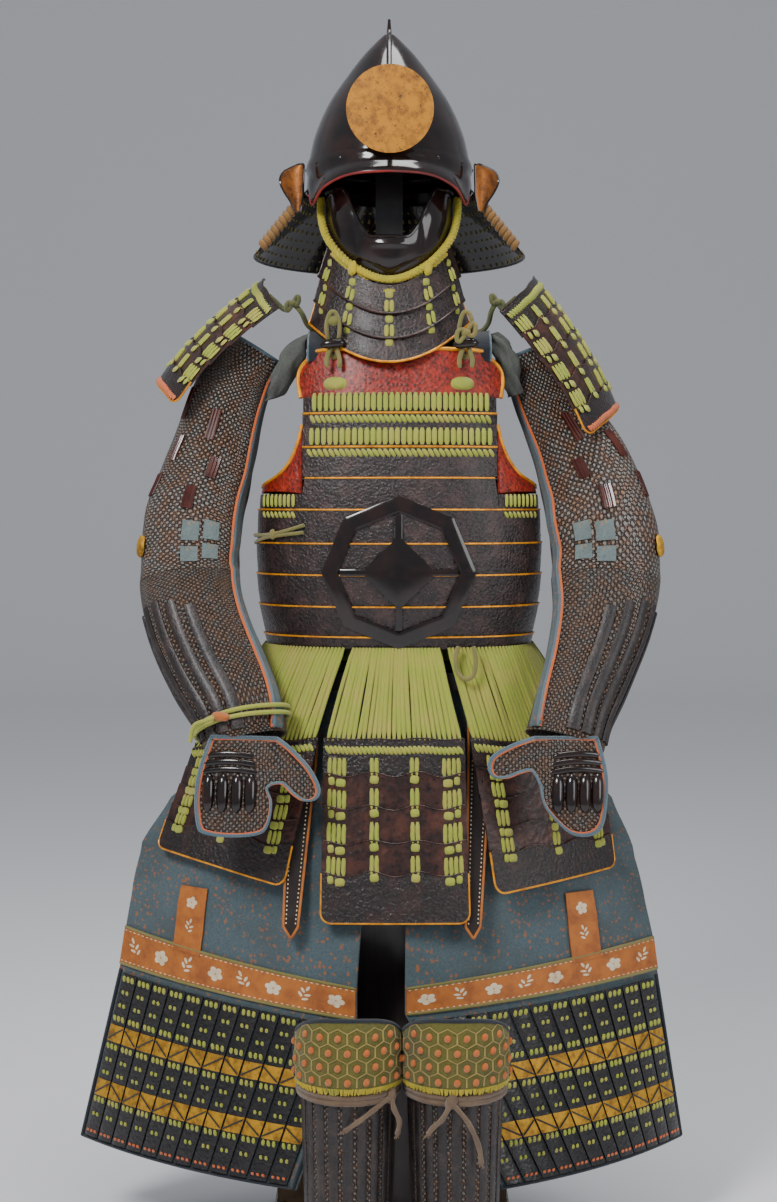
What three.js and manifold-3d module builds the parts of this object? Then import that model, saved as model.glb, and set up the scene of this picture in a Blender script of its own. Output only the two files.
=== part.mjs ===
// Samurai armour on a lacquered chest, in millimetres: +Z up, facing -Y, standing on z = 0.
// Left and right are as seen in the photo, so left is towards -X.
import * as THREE from 'three';
import { mergeVertices } from 'three/addons/utils/BufferGeometryUtils.js';
import Module from 'manifold-3d';

const wasm = await Module();
wasm.setup();

const SEAM = 0.5; // clearance between pieces that touch on the real armour
const LACQUER = 2.4; // thickness of a lacquered lame
const CLOTH = 3; // thickness of quilted or lined cloth

const HELMET_X = -4;
const TORSO_X = 10;
const SHIN_X = 12.5;

const COLOURS = {
  lacquer: '#140d0a', leather: '#3a2b27', rust: '#4a2a20', red: '#a01c10', gold: '#c98a1c',
  lace: '#a9b353', cord: '#b8a23a', tan: '#b98d4d', cloth: '#4d6066', band: '#b5652a',
  mail: '#4b3a30', brocade: '#7d7a3c', hemp: '#75685a', wood: '#2a1612', stand: '#0c0c0d',
};

const V = (x, y, z) => new THREE.Vector3(x, y, z);
const mix = (a, b, t) => a + (b - a) * t;
const clamp = THREE.MathUtils.clamp;
const rad = THREE.MathUtils.degToRad;
const list = (count, make) => Array.from({ length: count }, (_, i) => make(i));
const steps = (from, to, count) => list(count + 1, (i) => mix(from, to, i / count));
const ease = (t) => { const s = clamp(t, 0, 1); return s * s * (3 - 2 * s); };

const model = new THREE.Group();
model.name = 'samurai_armour';

function add(name, geometry, colour, roughness = 0.6, metalness = 0) {
  const material = new THREE.MeshStandardMaterial({ color: COLOURS[colour], roughness, metalness });
  const mesh = new THREE.Mesh(geometry, material);
  mesh.name = name;
  model.add(mesh);
  return geometry;
}

// Row of a table at a key in its first column, straight between rows.
function between(table, key) {
  const last = table.length - 1;
  const rising = table[last][0] > table[0][0];
  let i = 0;
  while (i < last - 1 && (rising ? key > table[i + 1][0] : key < table[i + 1][0])) i++;
  const t = clamp((key - table[i][0]) / (table[i + 1][0] - table[i][0]), 0, 1);
  return table[i].map((value, column) => mix(value, table[i + 1][column], t));
}

// Solid through closed loops of points. With wall set, the first `wall` points of a loop are
// its outer side and the rest run back along its inner side.
function loft(loops, { closed = false, wall = 0 } = {}) {
  const size = loops[0].length;
  const points = loops.flat();
  const index = [];
  for (let j = 0; j < (closed ? loops.length : loops.length - 1); j++) {
    const a = j * size;
    const b = ((j + 1) % loops.length) * size;
    for (let i = 0; i < size; i++) {
      const k = (i + 1) % size;
      index.push(a + i, b + i, b + k, a + i, b + k, a + k);
    }
  }
  if (!closed) {
    for (const [start, first] of [[0, true], [size * (loops.length - 1), false]]) {
      const faces = wall ? zipper(wall, size) : fan(points, start, size);
      for (const [a, b, c] of faces) {
        const [p, q, r] = [a + start, b + start, c < 0 ? points.length - 1 : c + start];
        if (first) index.push(p, q, r); else index.push(q, p, r);
      }
    }
  }
  const geometry = new THREE.BufferGeometry();
  geometry.setAttribute('position', new THREE.Float32BufferAttribute(points.flatMap((p) => p.toArray()), 3));
  geometry.setIndex(index);
  return outward(geometry);
}

// Faces across one end of a wall, between its outer and inner rows.
function zipper(outer, size) {
  const inner = size - outer;
  const faces = [];
  let i = 0;
  let j = 0;
  while (i < outer - 1 || j < inner - 1) {
    const forward = j === inner - 1 || (i < outer - 1 && (i + 1) / (outer - 1) <= (j + 1) / (inner - 1));
    if (forward) faces.push([i, i + 1, size - 1 - j]);
    else faces.push([i, size - 2 - j, size - 1 - j]);
    if (forward) i++; else j++;
  }
  return faces;
}

// Faces from a loop's edges to its middle, which is added to the points.
function fan(points, start, size) {
  const middle = V(0, 0, 0);
  for (let i = 0; i < size; i++) middle.addScaledVector(points[start + i], 1 / size);
  points.push(middle);
  return list(size, (i) => [i, (i + 1) % size, -1]);
}

function outward(geometry) {
  const p = geometry.getAttribute('position');
  const index = geometry.getIndex().array;
  const [a, b, c] = [V(0, 0, 0), V(0, 0, 0), V(0, 0, 0)];
  let volume = 0;
  for (let i = 0; i < index.length; i += 3) {
    a.fromBufferAttribute(p, index[i]);
    b.fromBufferAttribute(p, index[i + 1]);
    c.fromBufferAttribute(p, index[i + 2]);
    volume += a.dot(b.cross(c));
  }
  if (volume < 0) {
    for (let i = 0; i < index.length; i += 3) {
      [index[i], index[i + 1]] = [index[i + 1], index[i]];
    }
  }
  return geometry;
}

function toManifold(geometry) {
  const bare = new THREE.BufferGeometry();
  bare.setAttribute('position', geometry.getAttribute('position'));
  if (geometry.getIndex()) bare.setIndex(geometry.getIndex());
  const merged = mergeVertices(bare, 1e-4);
  return new wasm.Manifold(new wasm.Mesh({
    numProp: 3,
    vertProperties: new Float32Array(merged.getAttribute('position').array),
    triVerts: new Uint32Array(merged.getIndex().array),
  }));
}

function fromManifold(shape) {
  const mesh = shape.getMesh();
  const geometry = new THREE.BufferGeometry();
  geometry.setAttribute('position', new THREE.BufferAttribute(new Float32Array(mesh.vertProperties), 3));
  geometry.setIndex(new THREE.BufferAttribute(new Uint32Array(mesh.triVerts), 1));
  return geometry;
}

const join = (...pieces) => fromManifold(pieces.map(toManifold).reduce((a, b) => a.add(b)));
const common = (a, b) => fromManifold(toManifold(a).intersect(toManifold(b)));
const cut = (a, cuts) => cuts.map(toManifold).reduce((m, c) => m.subtract(c), toManifold(a));
const moved = (geometry, x, y, z) => geometry.clone().translate(x, y, z);

// Piece cut back from the pieces it rests against, keeping its largest part.
function seated(piece, ...others) {
  const rest = cut(piece, others).decompose();
  return fromManifold(rest.reduce((best, part) => (part.volume() > best.volume() ? part : best)));
}

function box(x0, x1, y0, y1, z0, z1) {
  const geometry = new THREE.BoxGeometry(x1 - x0, y1 - y0, z1 - z0);
  return geometry.translate((x0 + x1) / 2, (y0 + y1) / 2, (z0 + z1) / 2);
}

// Tube along a smooth curve through points.
function tube(points, radius, count, sides) {
  const shape = new THREE.Shape(ring(V(0, 0, 0), V(1, 0, 0), V(0, 1, 0), radius, sides));
  const extrudePath = new THREE.CatmullRomCurve3(points);
  return new THREE.ExtrudeGeometry(shape, { steps: count, extrudePath, bevelEnabled: false });
}

// Points of a circle round a middle, in the plane of two unit vectors.
function ring(middle, across, up, radius, sides) {
  return list(sides, (k) => middle.clone()
    .addScaledVector(across, radius * Math.cos((2 * Math.PI * k) / sides))
    .addScaledVector(up, radius * Math.sin((2 * Math.PI * k) / sides)));
}

// Prism of an outline in X and Z, running along Y.
function prism(outline, y0, y1) {
  const shape = new THREE.Shape(outline.map(([x, z]) => new THREE.Vector2(x, z)));
  const geometry = new THREE.ExtrudeGeometry(shape, { depth: y1 - y0, bevelEnabled: false });
  return geometry.rotateX(Math.PI / 2).translate(0, y1, 0);
}

// Chest that the armour stands on, from its plinth up to the rounded lid.
const CHEST_TOP = 604;
const CHEST_RINGS = [ // half width, front, back, height
  [168, -82, 118, 0], [168, -82, 118, 44], [160, -74, 110, 50], [160, -74, 110, 548],
  [170, -84, 120, 552], [170, -84, 120, 590], [162, -76, 112, CHEST_TOP],
];
add('stand_chest', loft(CHEST_RINGS.map(([half, y0, y1, z]) =>
  [V(-half, y0, z), V(half, y0, z), V(half, y1, z), V(-half, y1, z)])), 'wood', 0.35);

// Helmet bowl: half width, front and back depth at each height, up to a drawn-out point.
const BOWL = [ // height, half width, depth in front, depth behind
  [1524, 113, 122, 126], [1561, 104, 112, 118], [1604, 85, 90, 98], [1641, 60, 62, 70],
  [1672, 36, 37, 42], [1693, 16, 16, 18], [1701, 7, 7, 7],
];
const BOWL_WALL = 3;
const BOWL_SIDES = 20;

function bowlPoint(angle, z, off = 0) {
  const [, a, front, back] = between(BOWL, z);
  const depth = Math.cos(angle) > 0 ? front : back;
  return V(HELMET_X + (a + off) * Math.sin(angle), -(depth + off) * Math.cos(angle), z);
}

// Upright with a padded head for the helmet, a bar for the shoulders and a board for the belt.
const POST = 19; // half width of the upright
const CROSSBAR_Z = [1248, 1277.4];
const HEAD_PAD = [1588, 1606, 1620];
const headPad = loft(HEAD_PAD.map((z) => list(BOWL_SIDES, (i) =>
  bowlPoint((2 * Math.PI * i) / BOWL_SIDES, z + BOWL_WALL, -BOWL_WALL - 0.7).setZ(z))));
add('stand_frame', join(
  box(-90, 90, -60, 100, CHEST_TOP + SEAM, CHEST_TOP + 22),
  box(HELMET_X - POST, HELMET_X + POST, -POST, POST, CHEST_TOP + 20, 1590),
  box(TORSO_X - 126, TORSO_X + 126, -14, 14, ...CROSSBAR_Z),
  box(-100, 120, -45, 80, 796, 812), box(0, 20, 60, 99.4, 797, 811),
  headPad,
), 'stand', 0.5);

function helmetBowl() {
  const heights = BOWL.map(([z]) => z);
  const level = (z, off, drop) => list(BOWL_SIDES, (i) =>
    bowlPoint((2 * Math.PI * i) / BOWL_SIDES, z, off).add(V(0, 0, -drop)));
  const outer = heights.map((z) => level(z, 0, 0)).reverse();
  const inner = heights.slice(0, -1).map((z, i) => level(z, -BOWL_WALL, i ? BOWL_WALL : 0));
  return loft([...outer, ...inner]);
}

const SPIKE_TOP = 1722;
const frontRib = tube([
  V(HELMET_X, -2, SPIKE_TOP), V(HELMET_X, -5, 1702), V(HELMET_X, -17, 1692),
  V(HELMET_X, -62, 1641), V(HELMET_X, -89, 1606),
], 3.6, 9, 8);
add('helmet_bowl', join(helmetBowl(), frontRib), 'lacquer', 0.2);

// Browband and visor in one, arched over the face and flaring at the front.
const BAND_TOP = 1523.5;
const VISOR_EDGE = [ // angle from the front, lower edge, flare
  [0, 1490, 17], [25, 1487, 17], [45, 1474, 14], [60, 1456, 9], [72, 1482, 4], [90, 1482, 2],
  [180, 1482, 2],
];
function helmetBand() {
  const sides = 28;
  return loft(list(sides, (i) => {
    const turn = (360 * i) / sides;
    const [, low, flare] = between(VISOR_EDGE, Math.min(turn, 360 - turn));
    const at = (z, off) => bowlPoint(rad(turn), BOWL[0][0], off).setZ(z);
    const mid = mix(BAND_TOP, low, 0.45);
    return [
      at(BAND_TOP, 1.5), at(mid, 3), at(low, 1.5 + flare),
      at(low, flare - 1.5), at(mid, 0), at(BAND_TOP, -1.5),
    ];
  }), { closed: true });
}
const band = add('helmet_band', helmetBand(), 'lacquer', 0.25);

// Plain gilt disc standing in front of the bowl on a short peg.
const DISC = { radius: 58.5, thick: 2.5, y: -146, z: 1571 };
const disc = new THREE.CylinderGeometry(DISC.radius, DISC.radius, DISC.thick, 36)
  .translate(HELMET_X + 1, DISC.y + DISC.thick / 2, DISC.z);
const peg = box(HELMET_X - 4, HELMET_X + 6, DISC.y + 1, -119.6, 1535, 1541);
add('helmet_disc', join(disc, peg), 'gold', 0.45, 0.6);

// Turned-back ends of the neck guard, gilt on the side that faces forward.
const TURNBACK = [ // height, inner X, outer X, how far the outer edge curls back
  [1513, 98, 128, 8], [1506, 96, 146, 18], [1494, 96, 152, 22], [1478, 100, 146, 16],
  [1462, 112, 136, 8], [1449, 123, 130, 3],
];
for (const side of [-1, 1]) {
  const loops = TURNBACK.map(([z, inner, outer, curl]) => {
    const front = steps(0, 1, 3).map((t) =>
      V(HELMET_X + side * mix(inner, outer, t), -52 + curl * t * t - 6 * t * (1 - t), z));
    const back = front.map((p) => p.clone().add(V(0, LACQUER, 0))).reverse();
    return [...front, ...back];
  });
  const nearby = [0, -SEAM, SEAM].map((y) => moved(band, y ? side * SEAM : 0, y, 0));
  const leaf = seated(loft(loops, { wall: 4 }), ...nearby);
  add(`turnback_${side < 0 ? 'left' : 'right'}`, leaf, 'gold', 0.4, 0.4);
}

// Neck guard of flaring lames, from cheek to cheek round the back.
const NECK_LAMES = 4;
const NECK = { top: 1480.4, bottom: 1392, topX: 116, lowX: 190, topY: 127, lowY: 172, from: 78 };
function neckPoint(turn, t, off) {
  const angle = rad(turn);
  const lift = -8 * (1 - Math.abs(turn - 180) / 104) * t;
  const x = mix(NECK.topX, NECK.lowX, t) + off;
  const y = mix(NECK.topY, NECK.lowY, t) + off;
  const z = mix(NECK.top, NECK.bottom, t) + lift + off * 0.4;
  return V(HELMET_X + x * Math.sin(angle), -y * Math.cos(angle), z);
}
const NECK_STATIONS = steps(NECK.from, 360 - NECK.from, 16);
add('neck_guard', loft(NECK_STATIONS.map((turn) => {
  const rows = list(NECK_LAMES, (i) => [i / NECK_LAMES, (i + 1) / NECK_LAMES]);
  const outer = rows.flatMap(([a, b]) => [neckPoint(turn, a, 2.5), neckPoint(turn, b, 0.5)]);
  return [...outer, neckPoint(turn, 1, -2), neckPoint(turn, 0.5, -2), neckPoint(turn, 0, -2)];
}), { wall: NECK_LAMES * 2 }), 'lacquer', 0.35);

// Twisted cord laced over each front edge of the neck guard, with the corner left bare.
for (const side of [-1, 1]) {
  const turn = side < 0 ? 360 - NECK.from + 2.5 : NECK.from - 2.5;
  const rings = list(19, (i) => {
    const t = 0.17 + (0.72 * i) / 18;
    const [wide, thick] = i % 2 ? [7.5, 5.5] : [5.5, 3.5];
    const middle = neckPoint(turn, t, 0);
    return list(6, (k) => middle.clone().add(
      V(wide * Math.cos((k * Math.PI) / 3), thick * Math.sin((k * Math.PI) / 3), 0)));
  });
  add(`neck_guard_lacing_${side < 0 ? 'left' : 'right'}`, loft(rings), 'tan', 0.8);
}

// Half mask over cheeks and chin, open above the chin.
const MASK = [ // height, half width, depth
  [1480, 88, 86], [1450, 90, 92], [1420, 88, 96], [1390, 78, 94], [1366, 60, 84], [1347, 36, 66],
];
const MASK_Y = -22;
const maskTop = (turn) => 1406 + 70 * ease((Math.abs(turn) - 16) / 32);
function maskPoint(turn, z, off) {
  const [, a, b] = between(MASK, z);
  return V(HELMET_X + (a + off) * Math.sin(rad(turn)), MASK_Y - (b + off) * Math.cos(rad(turn)), z);
}
function maskWall(grow) {
  return loft(steps(-84, 84, 14).map((turn) => {
    const rows = [1, 0.72, 0.45, 0.2, 0].map((t) => mix(1347, maskTop(turn), t));
    const outer = rows.map((z) => maskPoint(turn, z, grow));
    return [...outer, ...rows.map((z) => maskPoint(turn, z, -LACQUER)).reverse()];
  }), { wall: 5 });
}
add('face_mask', maskWall(0), 'lacquer', 0.15);

// Throat lames below the mask, each a crescent wider and lower than the one above.
const THROAT = [ // lower edge at the middle, radius at the top, radius at the lower edge, height
  [1302, 88, 101, 40], [1268, 96, 107, 40], [1236, 101.8, 114, 40],
];
const THROAT_RISE = 62;
THROAT.forEach(([low, r0, r1, height], i) => {
  const loops = steps(-78, 78, 14).map((turn) => {
    const angle = rad(turn);
    const at = (t, off) => {
      const r = mix(r0, r1, t) + off;
      const z = low + THROAT_RISE * Math.sin(angle) ** 2 + height * (1 - t);
      return V(HELMET_X + r * Math.sin(angle), -16 - r * Math.cos(angle), z);
    };
    return [at(0, 0), at(0.9, 0), at(1, 1.2), at(1, -LACQUER), at(0, -LACQUER)];
  });
  add(`throat_lame_${i + 1}`, loft(loops, { wall: 3 }), 'leather', 0.6);
});
const [topLame, , lowLame] = THROAT.map((_, i) => model.getObjectByName(`throat_lame_${i + 1}`).geometry);

// Braided cord from both sides of the helmet, doubled under the chin.
const CHIN_CORD = 5.2;
const CHIN_PATH = [ // turn round the mask, height
  [-82, 1468], [-76, 1440], [-66, 1408], [-50, 1376], [-28, 1356], [0, 1350], [28, 1356],
  [50, 1376], [66, 1408], [76, 1440], [82, 1468],
].map(([turn, z]) => maskPoint(turn, z, CHIN_CORD + 0.4));
const CHIN_DOUBLE = [ // turn, height, distance out from the mask
  [-60, 1392, 6], [-46, 1366, 7], [-24, 1345, 9], [0, 1339, 9.4], [24, 1345, 9], [46, 1366, 7], [60, 1392, 6],
].map(([turn, z, off]) => maskPoint(turn, z, off));
add('chin_cord', seated(
  join(tube(CHIN_PATH, CHIN_CORD, 18, 6), tube(CHIN_DOUBLE, CHIN_CORD, 11, 6)),
  maskWall(SEAM), topLame, moved(topLame, 0, SEAM, 0),
), 'cord', 0.8);

// Cuirass surface: half width, depth in front and behind, squared off like a real trunk.
const TORSO = [ // height, half width, depth in front, depth behind
  [843, 186, 125, 115], [930, 199, 140, 120], [1040, 197, 140, 125], [1120, 178, 132, 120],
  [1200, 166, 120, 112], [1262, 158, 106, 102],
];
const TORSO_STEP = 9; // degrees between the flats that every piece on the cuirass shares
const SQUARE = 2.4;
const squared = (value) => Math.sign(value) * Math.abs(value) ** (2 / SQUARE);

function torsoStation(k, z, off) {
  const [sin, cos] = [Math.sin(rad(k * TORSO_STEP)), Math.cos(rad(k * TORSO_STEP))];
  const [, a, front, back] = between(TORSO, z);
  const depth = cos > 0 ? front : back;
  const [nx, ny] = [sin, -cos].map((s) => Math.sign(s) * Math.abs(s) ** (2 - 2 / SQUARE));
  const normal = V(nx / 197, ny / 140, 0).normalize();
  return V(TORSO_X + a * squared(sin), -depth * squared(cos), z).addScaledVector(normal, off);
}

function torsoPoint(turn, z, off) {
  const k = Math.floor(turn / TORSO_STEP);
  return torsoStation(k, z, off).lerp(torsoStation(k + 1, z, off), turn / TORSO_STEP - k);
}

function turnAt(x, z) {
  const [, a] = between(TORSO, z);
  const s = clamp((x - TORSO_X) / a, -1, 1);
  return THREE.MathUtils.radToDeg(Math.asin(Math.sign(s) * Math.abs(s) ** (SQUARE / 2)));
}

function torsoTurns(from, to) {
  const first = Math.ceil(from / TORSO_STEP + 0.01);
  const last = Math.floor(to / TORSO_STEP - 0.01);
  return [from, ...list(last - first + 1, (i) => (first + i) * TORSO_STEP), to];
}

function torsoWall(turns, outer, inner) {
  return loft(turns.map((turn) => [
    ...outer.map(([z, off]) => torsoPoint(turn, z, off)),
    ...inner.map(([z, off]) => torsoPoint(turn, z, off)).reverse(),
  ]), { wall: outer.length });
}

// Outer rows of overlapping lames, the lower edge of each standing `step` proud of the next.
const lameRows = (edges, step) => edges.slice(1).flatMap((z, i) => [[edges[i], 0], [z, step]]);

const LAME_STEP = 1.8;
const FRONT_EDGES = [847, 864, 906, 949, 992, 1038, 1081];
const CHEST_X = [-122, 143]; // sides of the narrow chest lames between the side plates
const SIDE_TOP = 1058;
add('cuirass_front', common(
  torsoWall(torsoTurns(-88.5, 88.5), lameRows(FRONT_EDGES, LAME_STEP),
    [847, 930, 1040, 1081].map((z) => [z, -LACQUER])),
  prism([[-230, 840], [240, 840], [240, SIDE_TOP], [CHEST_X[1], SIDE_TOP], [CHEST_X[1], 1090],
    [CHEST_X[0], 1090], [CHEST_X[0], SIDE_TOP], [-230, SIDE_TOP]], -220, 60),
), 'leather', 0.6);

const BACK_EDGES = [847, 924, 1002, 1081, 1240];
add('cuirass_back', common(
  torsoWall(torsoTurns(91.5, 268.5), lameRows(BACK_EDGES, LAME_STEP),
    [847, 930, 1040, 1120, 1200, 1240].map((z) => [z, -LACQUER])),
  prism([[-230, 840], [250, 840], [250, 1050], [186, 1060], [150, 1110], [134, 1200], [120, 1236],
    [-100, 1236], [-114, 1200], [-130, 1110], [-166, 1060], [-230, 1050]], -60, 220),
), 'leather', 0.6);

add('chest_lame', common(
  torsoWall(torsoTurns(-60, 60), lameRows([1081 + SEAM, 1131, 1196], LAME_STEP),
    [1081 + SEAM, 1120, 1196].map((z) => [z, -LACQUER])),
  prism([[CHEST_X[0], 1070], [CHEST_X[1], 1070], [CHEST_X[1], 1210], [CHEST_X[0], 1210]], -220, 0),
), 'leather', 0.6);

const PLATE_ROWS = [1196 + SEAM, 1200, 1258];
const chestPlate = add('chest_plate', common(
  torsoWall(torsoTurns(-84, 84), PLATE_ROWS.map((z) => [z, LAME_STEP]), PLATE_ROWS.map((z) => [z, -1])),
  prism([[-124, 1190], [-128, 1214], [-124, 1232], [-108, 1247], [-84, 1255], [104, 1255], [128, 1247],
    [146, 1232], [151, 1214], [148, 1190]], -220, 0),
), 'red', 0.45);

const SIDE_ROWS = [SIDE_TOP + SEAM, 1120, 1160];
const SIDE_OUTLINE = [ // left plate in X and Z, cut away in a curve for the arm
  [-123, 1050], [-123, 1153], [-128, 1130], [-138, 1106], [-154, 1086], [-177, 1072],
  [-186, 1066], [-186, 1050],
];
for (const side of [-1, 1]) {
  const outline = SIDE_OUTLINE.map(([x, z]) => [side < 0 ? x : 2 * TORSO_X + 1 - x, z]);
  const turns = side < 0 ? torsoTurns(-88, -30) : torsoTurns(30, 88);
  add(`side_plate_${side < 0 ? 'left' : 'right'}`, common(
    torsoWall(turns, SIDE_ROWS.map((z) => [z, LAME_STEP]), SIDE_ROWS.map((z) => [z, -1])),
    prism(outline, -220, 40),
  ), 'red', 0.45);
}

// Bands of upright lacing on the chest, one raised rib to a cord.
const CHEST_CORDS = 24;
const RIB = 2.6;
function chestBand(x0, x1, z0, z1) {
  const base = LAME_STEP + SEAM;
  const turns = steps(x0, x1, CHEST_CORDS * 2).map((x) => turnAt(x, (z0 + z1) / 2));
  return loft(turns.map((turn, i) => {
    const off = base + 1.4 + (i % 2 ? RIB : 0);
    return [[z1, off], [z0, off], [z0, base], [z1, base]].map(([z, o]) => torsoPoint(turn, z, o));
  }), { wall: 2 });
}
add('chest_lacing_upper', chestBand(-110, 133, 1167, 1197), 'lace', 0.8);
add('chest_lacing_lower', chestBand(-118, 140, 1121, 1146), 'lace', 0.8);

// Black lacquer ornament: an eight-sided frame tied by four bars to a lozenge.
const ORNAMENT = { x: 9, z: 952, outer: 104, inner: 82, lozenge: 50, bar: 9 };
function ornament() {
  const { outer, inner, lozenge, bar } = ORNAMENT;
  const solid = (outline) => prism(outline.map(([x, z]) => [ORNAMENT.x + x, ORNAMENT.z + z]), -220, -40);
  const polygon = (r, sides, start) => solid(list(sides, (i) => {
    const angle = rad((360 * i) / sides + start);
    return [r * Math.cos(angle), r * Math.sin(angle)];
  }));
  const upright = (w, h) => solid([[-w, -h], [w, -h], [w, h], [-w, h]]);
  const reach = inner * Math.cos(rad(22.5)) + 4;
  return join(
    fromManifold(cut(polygon(outer, 8, 22.5), [polygon(inner, 8, 22.5)])),
    polygon(lozenge, 4, 0), upright(bar / 2, reach), upright(reach, bar / 2),
  );
}
const ornamentRows = (off) => [850, 930, 1040, 1060].map((z) => [z, off]);
add('lacquer_ornament', common(
  torsoWall(torsoTurns(-54, 54), ornamentRows(LAME_STEP + SEAM + 2.2), ornamentRows(LAME_STEP + SEAM)),
  ornament(),
), 'lacquer', 0.15);

// Shoulder straps from the back plate over to the red chest plate.
const STRAP_PATH = [ // Y, Z
  [86, 1232], [82, 1258], [54, 1277], [0, 1284], [-54, 1277], [-82, 1260], [-84, 1240],
];
const shellRows = (low, off) => [low, 1200, 1262].map((z) => [z, off]);
const trunkShells = [
  torsoWall(torsoTurns(-86, 86), shellRows(1190, 14), shellRows(1190, -1 - SEAM)),
  torsoWall(torsoTurns(94, 266), shellRows(1120, 14), shellRows(1120, -LACQUER - SEAM)),
];
const STRAP_X = { left: TORSO_X - 106, right: TORSO_X + 106 };
const strap = {};
for (const [side, x] of Object.entries(STRAP_X)) {
  const loops = STRAP_PATH.map(([y, z], i) => {
    const next = STRAP_PATH[Math.min(i + 1, STRAP_PATH.length - 1)];
    const last = STRAP_PATH[Math.max(i - 1, 0)];
    const normal = V(0, next[1] - last[1], last[0] - next[0]).normalize().multiplyScalar(-4);
    const edge = (dx, k) => V(x + dx, y, z).addScaledVector(normal, k);
    return [edge(-20, 0), edge(20, 0), edge(20, 1), edge(-20, 1)];
  });
  strap[side] = seated(loft(loops), ...trunkShells);
  add(`shoulder_strap_${side}`, strap[side], 'leather', 0.6);
}

// Curved panel of overlapping lames between four corners, given as seen from outside:
// top left, top right, bottom left, bottom right.
function panelSurface(corners, bulge, arch = 0) {
  const [tl, tr, bl, br] = corners.map((c) => V(...c));
  const down = bl.clone().add(br).sub(tl).sub(tr);
  const across = tr.clone().add(br).sub(tl).sub(bl);
  const normal = down.cross(across).normalize();
  return (u, v, off) => tl.clone().lerp(tr, u).lerp(bl.clone().lerp(br, u), v)
    .addScaledVector(normal, off + bulge * (1 - (2 * u - 1) ** 2) + arch * 4 * v * (1 - v));
}

const PANEL_LAMES = 5;
const PANEL_COLUMNS = 5;
function lamePanel(at, round, inside) {
  return loft(steps(0, 1, PANEL_COLUMNS).map((u) => {
    const end = 1 - round * (2 * u - 1) ** 4;
    const edges = list(PANEL_LAMES + 1, (i) => (i === PANEL_LAMES ? end : i / PANEL_LAMES));
    const outer = edges.slice(1).flatMap((v, i) => [at(u, edges[i], 2.6), at(u, v, 0.4)]);
    const inner = steps(0, end, inside).map((v) => at(u, v, -LACQUER));
    return [...outer, ...inner.reverse()];
  }), { wall: PANEL_LAMES * 2 });
}

// Tassets in order round the waist, each five lames, with the corners panelSurface takes.
const TASSETS = [
  ['front', 9, [[-93, -150, 729], [98, -150, 729], [-96, -187, 484], [104, -187, 484]]],
  ['front_right', 12, [[104, -148, 729], [290, -30, 698], [141, -170, 519], [314, -55, 537]]],
  ['side_right', 12, [[291, 2, 698], [241, 98, 700], [322, 6, 540], [276, 116, 540]]],
  ['back_right', 12, [[234, 102, 703], [7, 152, 725], [262, 124, 535], [9, 190, 500]]],
  ['back_left', 12, [[1, 152, 725], [-222, 102, 705], [-1, 190, 500], [-250, 124, 535]]],
  ['side_left', 12, [[-229, 98, 702], [-279, 2, 702], [-262, 116, 545], [-326, 4, 560]]],
  ['front_left', 12, [[-280, -30, 700], [-99, -148, 729], [-330, -58, 565], [-147, -170, 530]]],
];
const tassetTops = TASSETS.map(([name, bulge, corners]) => {
  const at = panelSurface(corners, bulge);
  add(`tasset_${name}`, lamePanel(at, 0.03, 2), 'leather', 0.6);
  return [at, V(...corners[0]).distanceTo(V(...corners[1]))];
});

// Green lacing that hangs the tassets from the cuirass, one raised rib to a cord, with a slit
// wherever two tassets meet.
const SKIRT_TOP = 846.5;
const SKIRT_CORD = 21; // width of one rib along the tops of the tassets
const SLIT_TOP = 0.35;
function skirtLoop(at, u, raised, end) {
  const low = (off) => at(u, 0, off).add(V(0, 0, 0.6));
  const foot = low(0);
  const turn = THREE.MathUtils.radToDeg(Math.atan2(
    Math.sign(foot.x - TORSO_X) * Math.abs((foot.x - TORSO_X) / 280) ** (SQUARE / 2),
    Math.sign(-foot.y) * Math.abs(foot.y / 150) ** (SQUARE / 2)));
  const point = (t, off) => torsoPoint((turn + 360) % 360, SKIRT_TOP, off).lerp(low(off), t);
  return [point(0, raised), point(end, raised), point(end, -1.5), point(0, -1.5)];
}
add('waist_lacing', loft(tassetTops.flatMap(([at, width]) => {
  const ribs = Math.round(width / SKIRT_CORD) * 2;
  const row = steps(0, 1, ribs).map((u, i) => skirtLoop(at, mix(0.03, 0.97, u), i % 2 ? 1 + RIB : 1, 1));
  return [skirtLoop(at, 0.005, 1, SLIT_TOP), ...row, skirtLoop(at, 0.995, 1, SLIT_TOP)];
}), { closed: true }), 'lace', 0.8);

// Shoulder guards, hung from the shoulder and leaning out over the sleeve.
const SHOULDER_GUARDS = {
  left: [[-182, 73, 1368], [-155, -70, 1313], [-338, 63, 1218], [-299, -80, 1181]],
  right: [[147, -70, 1309], [203, 73, 1373], [269, -80, 1138], [327, 63, 1182]],
};
const guard = {};
for (const [side, corners] of Object.entries(SHOULDER_GUARDS)) {
  guard[side] = lamePanel(panelSurface(corners, 15, 10), 0.015, 5);
  add(`shoulder_guard_${side}`, guard[side], 'leather', 0.6);
}

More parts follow.
